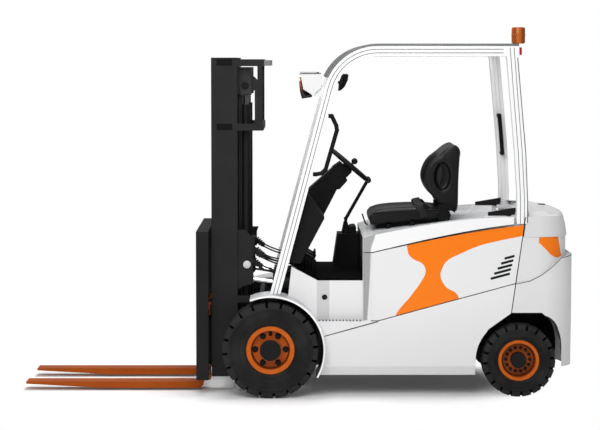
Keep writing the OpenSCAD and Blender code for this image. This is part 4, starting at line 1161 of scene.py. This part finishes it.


# mast: light grey discs as painted light in the bracket holes, bumpers, bracket plates, and hoses
mastFitSet = {
    "pin": [(0.024, 0.0), (0.024, 0.003), (0.0192, 0.006), (0.004, 0.0075)],
    "pinAt": (-0.314, 0.3465, 0.797),
    "sheavePin": [(0.023, -0.002), (0.023, 0.005), (0.01794, 0.0055), (0.01702, 0.002), (0.004, 0.002)],
    "sheavePinAt": (-0.326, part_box("lift_rods")[1].y, 1.905),
    "bumper": ((-0.206, 0.3242, 2.030), (-0.1655, 0.3558, 2.0645)),
    "plate": [(-0.300, 0.850), (-0.268, 0.850), (-0.267, 0.945), (-0.256, 0.972), (-0.292, 0.972),
              (-0.300, 0.940)],
    "plateY": (0.285, 0.342),
}
hoseSet = {
    "lines": [[(-0.225, 0.784), (-0.205, 0.772), (-0.165, 0.758), (-0.11, 0.750), (-0.03, 0.760)],
              [(-0.225, 0.851), (-0.205, 0.840), (-0.165, 0.822), (-0.11, 0.804), (-0.035, 0.790)]],
    "y": 0.328, "gap": 0.0085, "size": 0.0048,
}


def addMastFittings():
    s = mastFitSet
    # light grey discs in the bracket holes: painted light where the backdrop shows through
    Shape().lathe(s["pin"], s["pinAt"]).mirrored().piece("bracketHoleLights", "holeLight", "outer_mast")
    Shape().lathe(s["sheavePin"], s["sheavePinAt"]).mirrored().piece("sheavePins", "seal", "inner_mast")
    Shape().box(*s["bumper"]).mirrored().piece("tieBumpers", "grey", "outer_mast")
    Shape().prism(s["plate"], *s["plateY"]).mirrored().piece("bracketPlates", "mast", "outer_mast")


def addHoses():
    s = hoseSet
    for side, label in ((-1, "Left"), (1, "Right")):
        hoses = Shape()
        for line in s["lines"]:
            for off in (-s["gap"], s["gap"]):
                hoses.tube(curveThrough([(x, side * s["y"], z + off) for x, z in line], 24), s["size"], 10)
        piece = hoses.piece("tiltHoses" + label, "plastic", None)
        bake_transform(piece)


# leaf chains: the arcs over the sheaves ride the inner mast, the straight runs are built on no body
chainSet = {
    "y": 0.195, "pitch": 0.0254, "sheave": (-0.310, 1.908), "wrap": 0.050, "arc": 6,
    "frontRun": (0.310, 1.908), "rearRun": (1.677, 1.908),
    "plates": ((-0.0040, 0.0040), (-0.0072, 0.0, 0.0072)), "plateHalf": 0.0013, "plateEnd": 0.0085,
}


def chainAlong(points, y):
    s = chainSet
    chain = Shape()
    r = s["plateEnd"]
    for i, (a, b) in enumerate(zip(points, points[1:])):
        a, b = Vector(a), Vector(b)
        along = (b - a).normalized()
        out = Vector((-along.z, 0, along.x))
        rim = []
        for end, turn in ((a, math.pi / 2), (b, -math.pi / 2)):
            for t in (math.pi * k / 6 for k in range(7)):
                rim.append(end + along * r * math.cos(turn + t) + out * r * math.sin(turn + t))
        for off in s["plates"][i % 2]:
            chain.prism([(p.x, p.z) for p in rim], y + off - s["plateHalf"], y + off + s["plateHalf"])
    return chain


def chainRun(x, low, high):
    count = round((high - low) / chainSet["pitch"])
    return [(x, 0, high - chainSet["pitch"] * i) for i in range(count + 1)]


def addChains():
    s = chainSet
    cx, cz = s["sheave"]
    turns = [math.pi * k / s["arc"] for k in range(s["arc"] + 1)]
    arc = [(cx - s["wrap"] * math.cos(t), 0, cz + s["wrap"] * math.sin(t)) for t in turns]
    for side, label in ((-1, "Left"), (1, "Right")):
        y = side * s["y"]
        front = chainAlong(chainRun(cx - s["wrap"], *s["frontRun"]), y)
        front = front.piece("frontChain" + label, "steel", None)
        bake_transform(front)
        rear = chainAlong(chainRun(cx + s["wrap"], *s["rearRun"]), y)
        rear = rear.piece("rearChain" + label, "steel", None)
        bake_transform(rear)
        chainAlong(arc, y).piece("chainArc" + label, "steel", "inner_mast")
        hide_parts("front_chains")
        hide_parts("rear_chains")


addSeals()
addBelt()
addVents()
addPanelTrim()
addCells()
addTreads()
addHoodFront()
addCrown()
addHeadlights()
addDome()
addCab()
print("trim, lenses and cab fitted")
addLapBelt()
addSeatFittings()
addMastFittings()
addHoses()
addChains()
print("seat and mast fittings fitted")
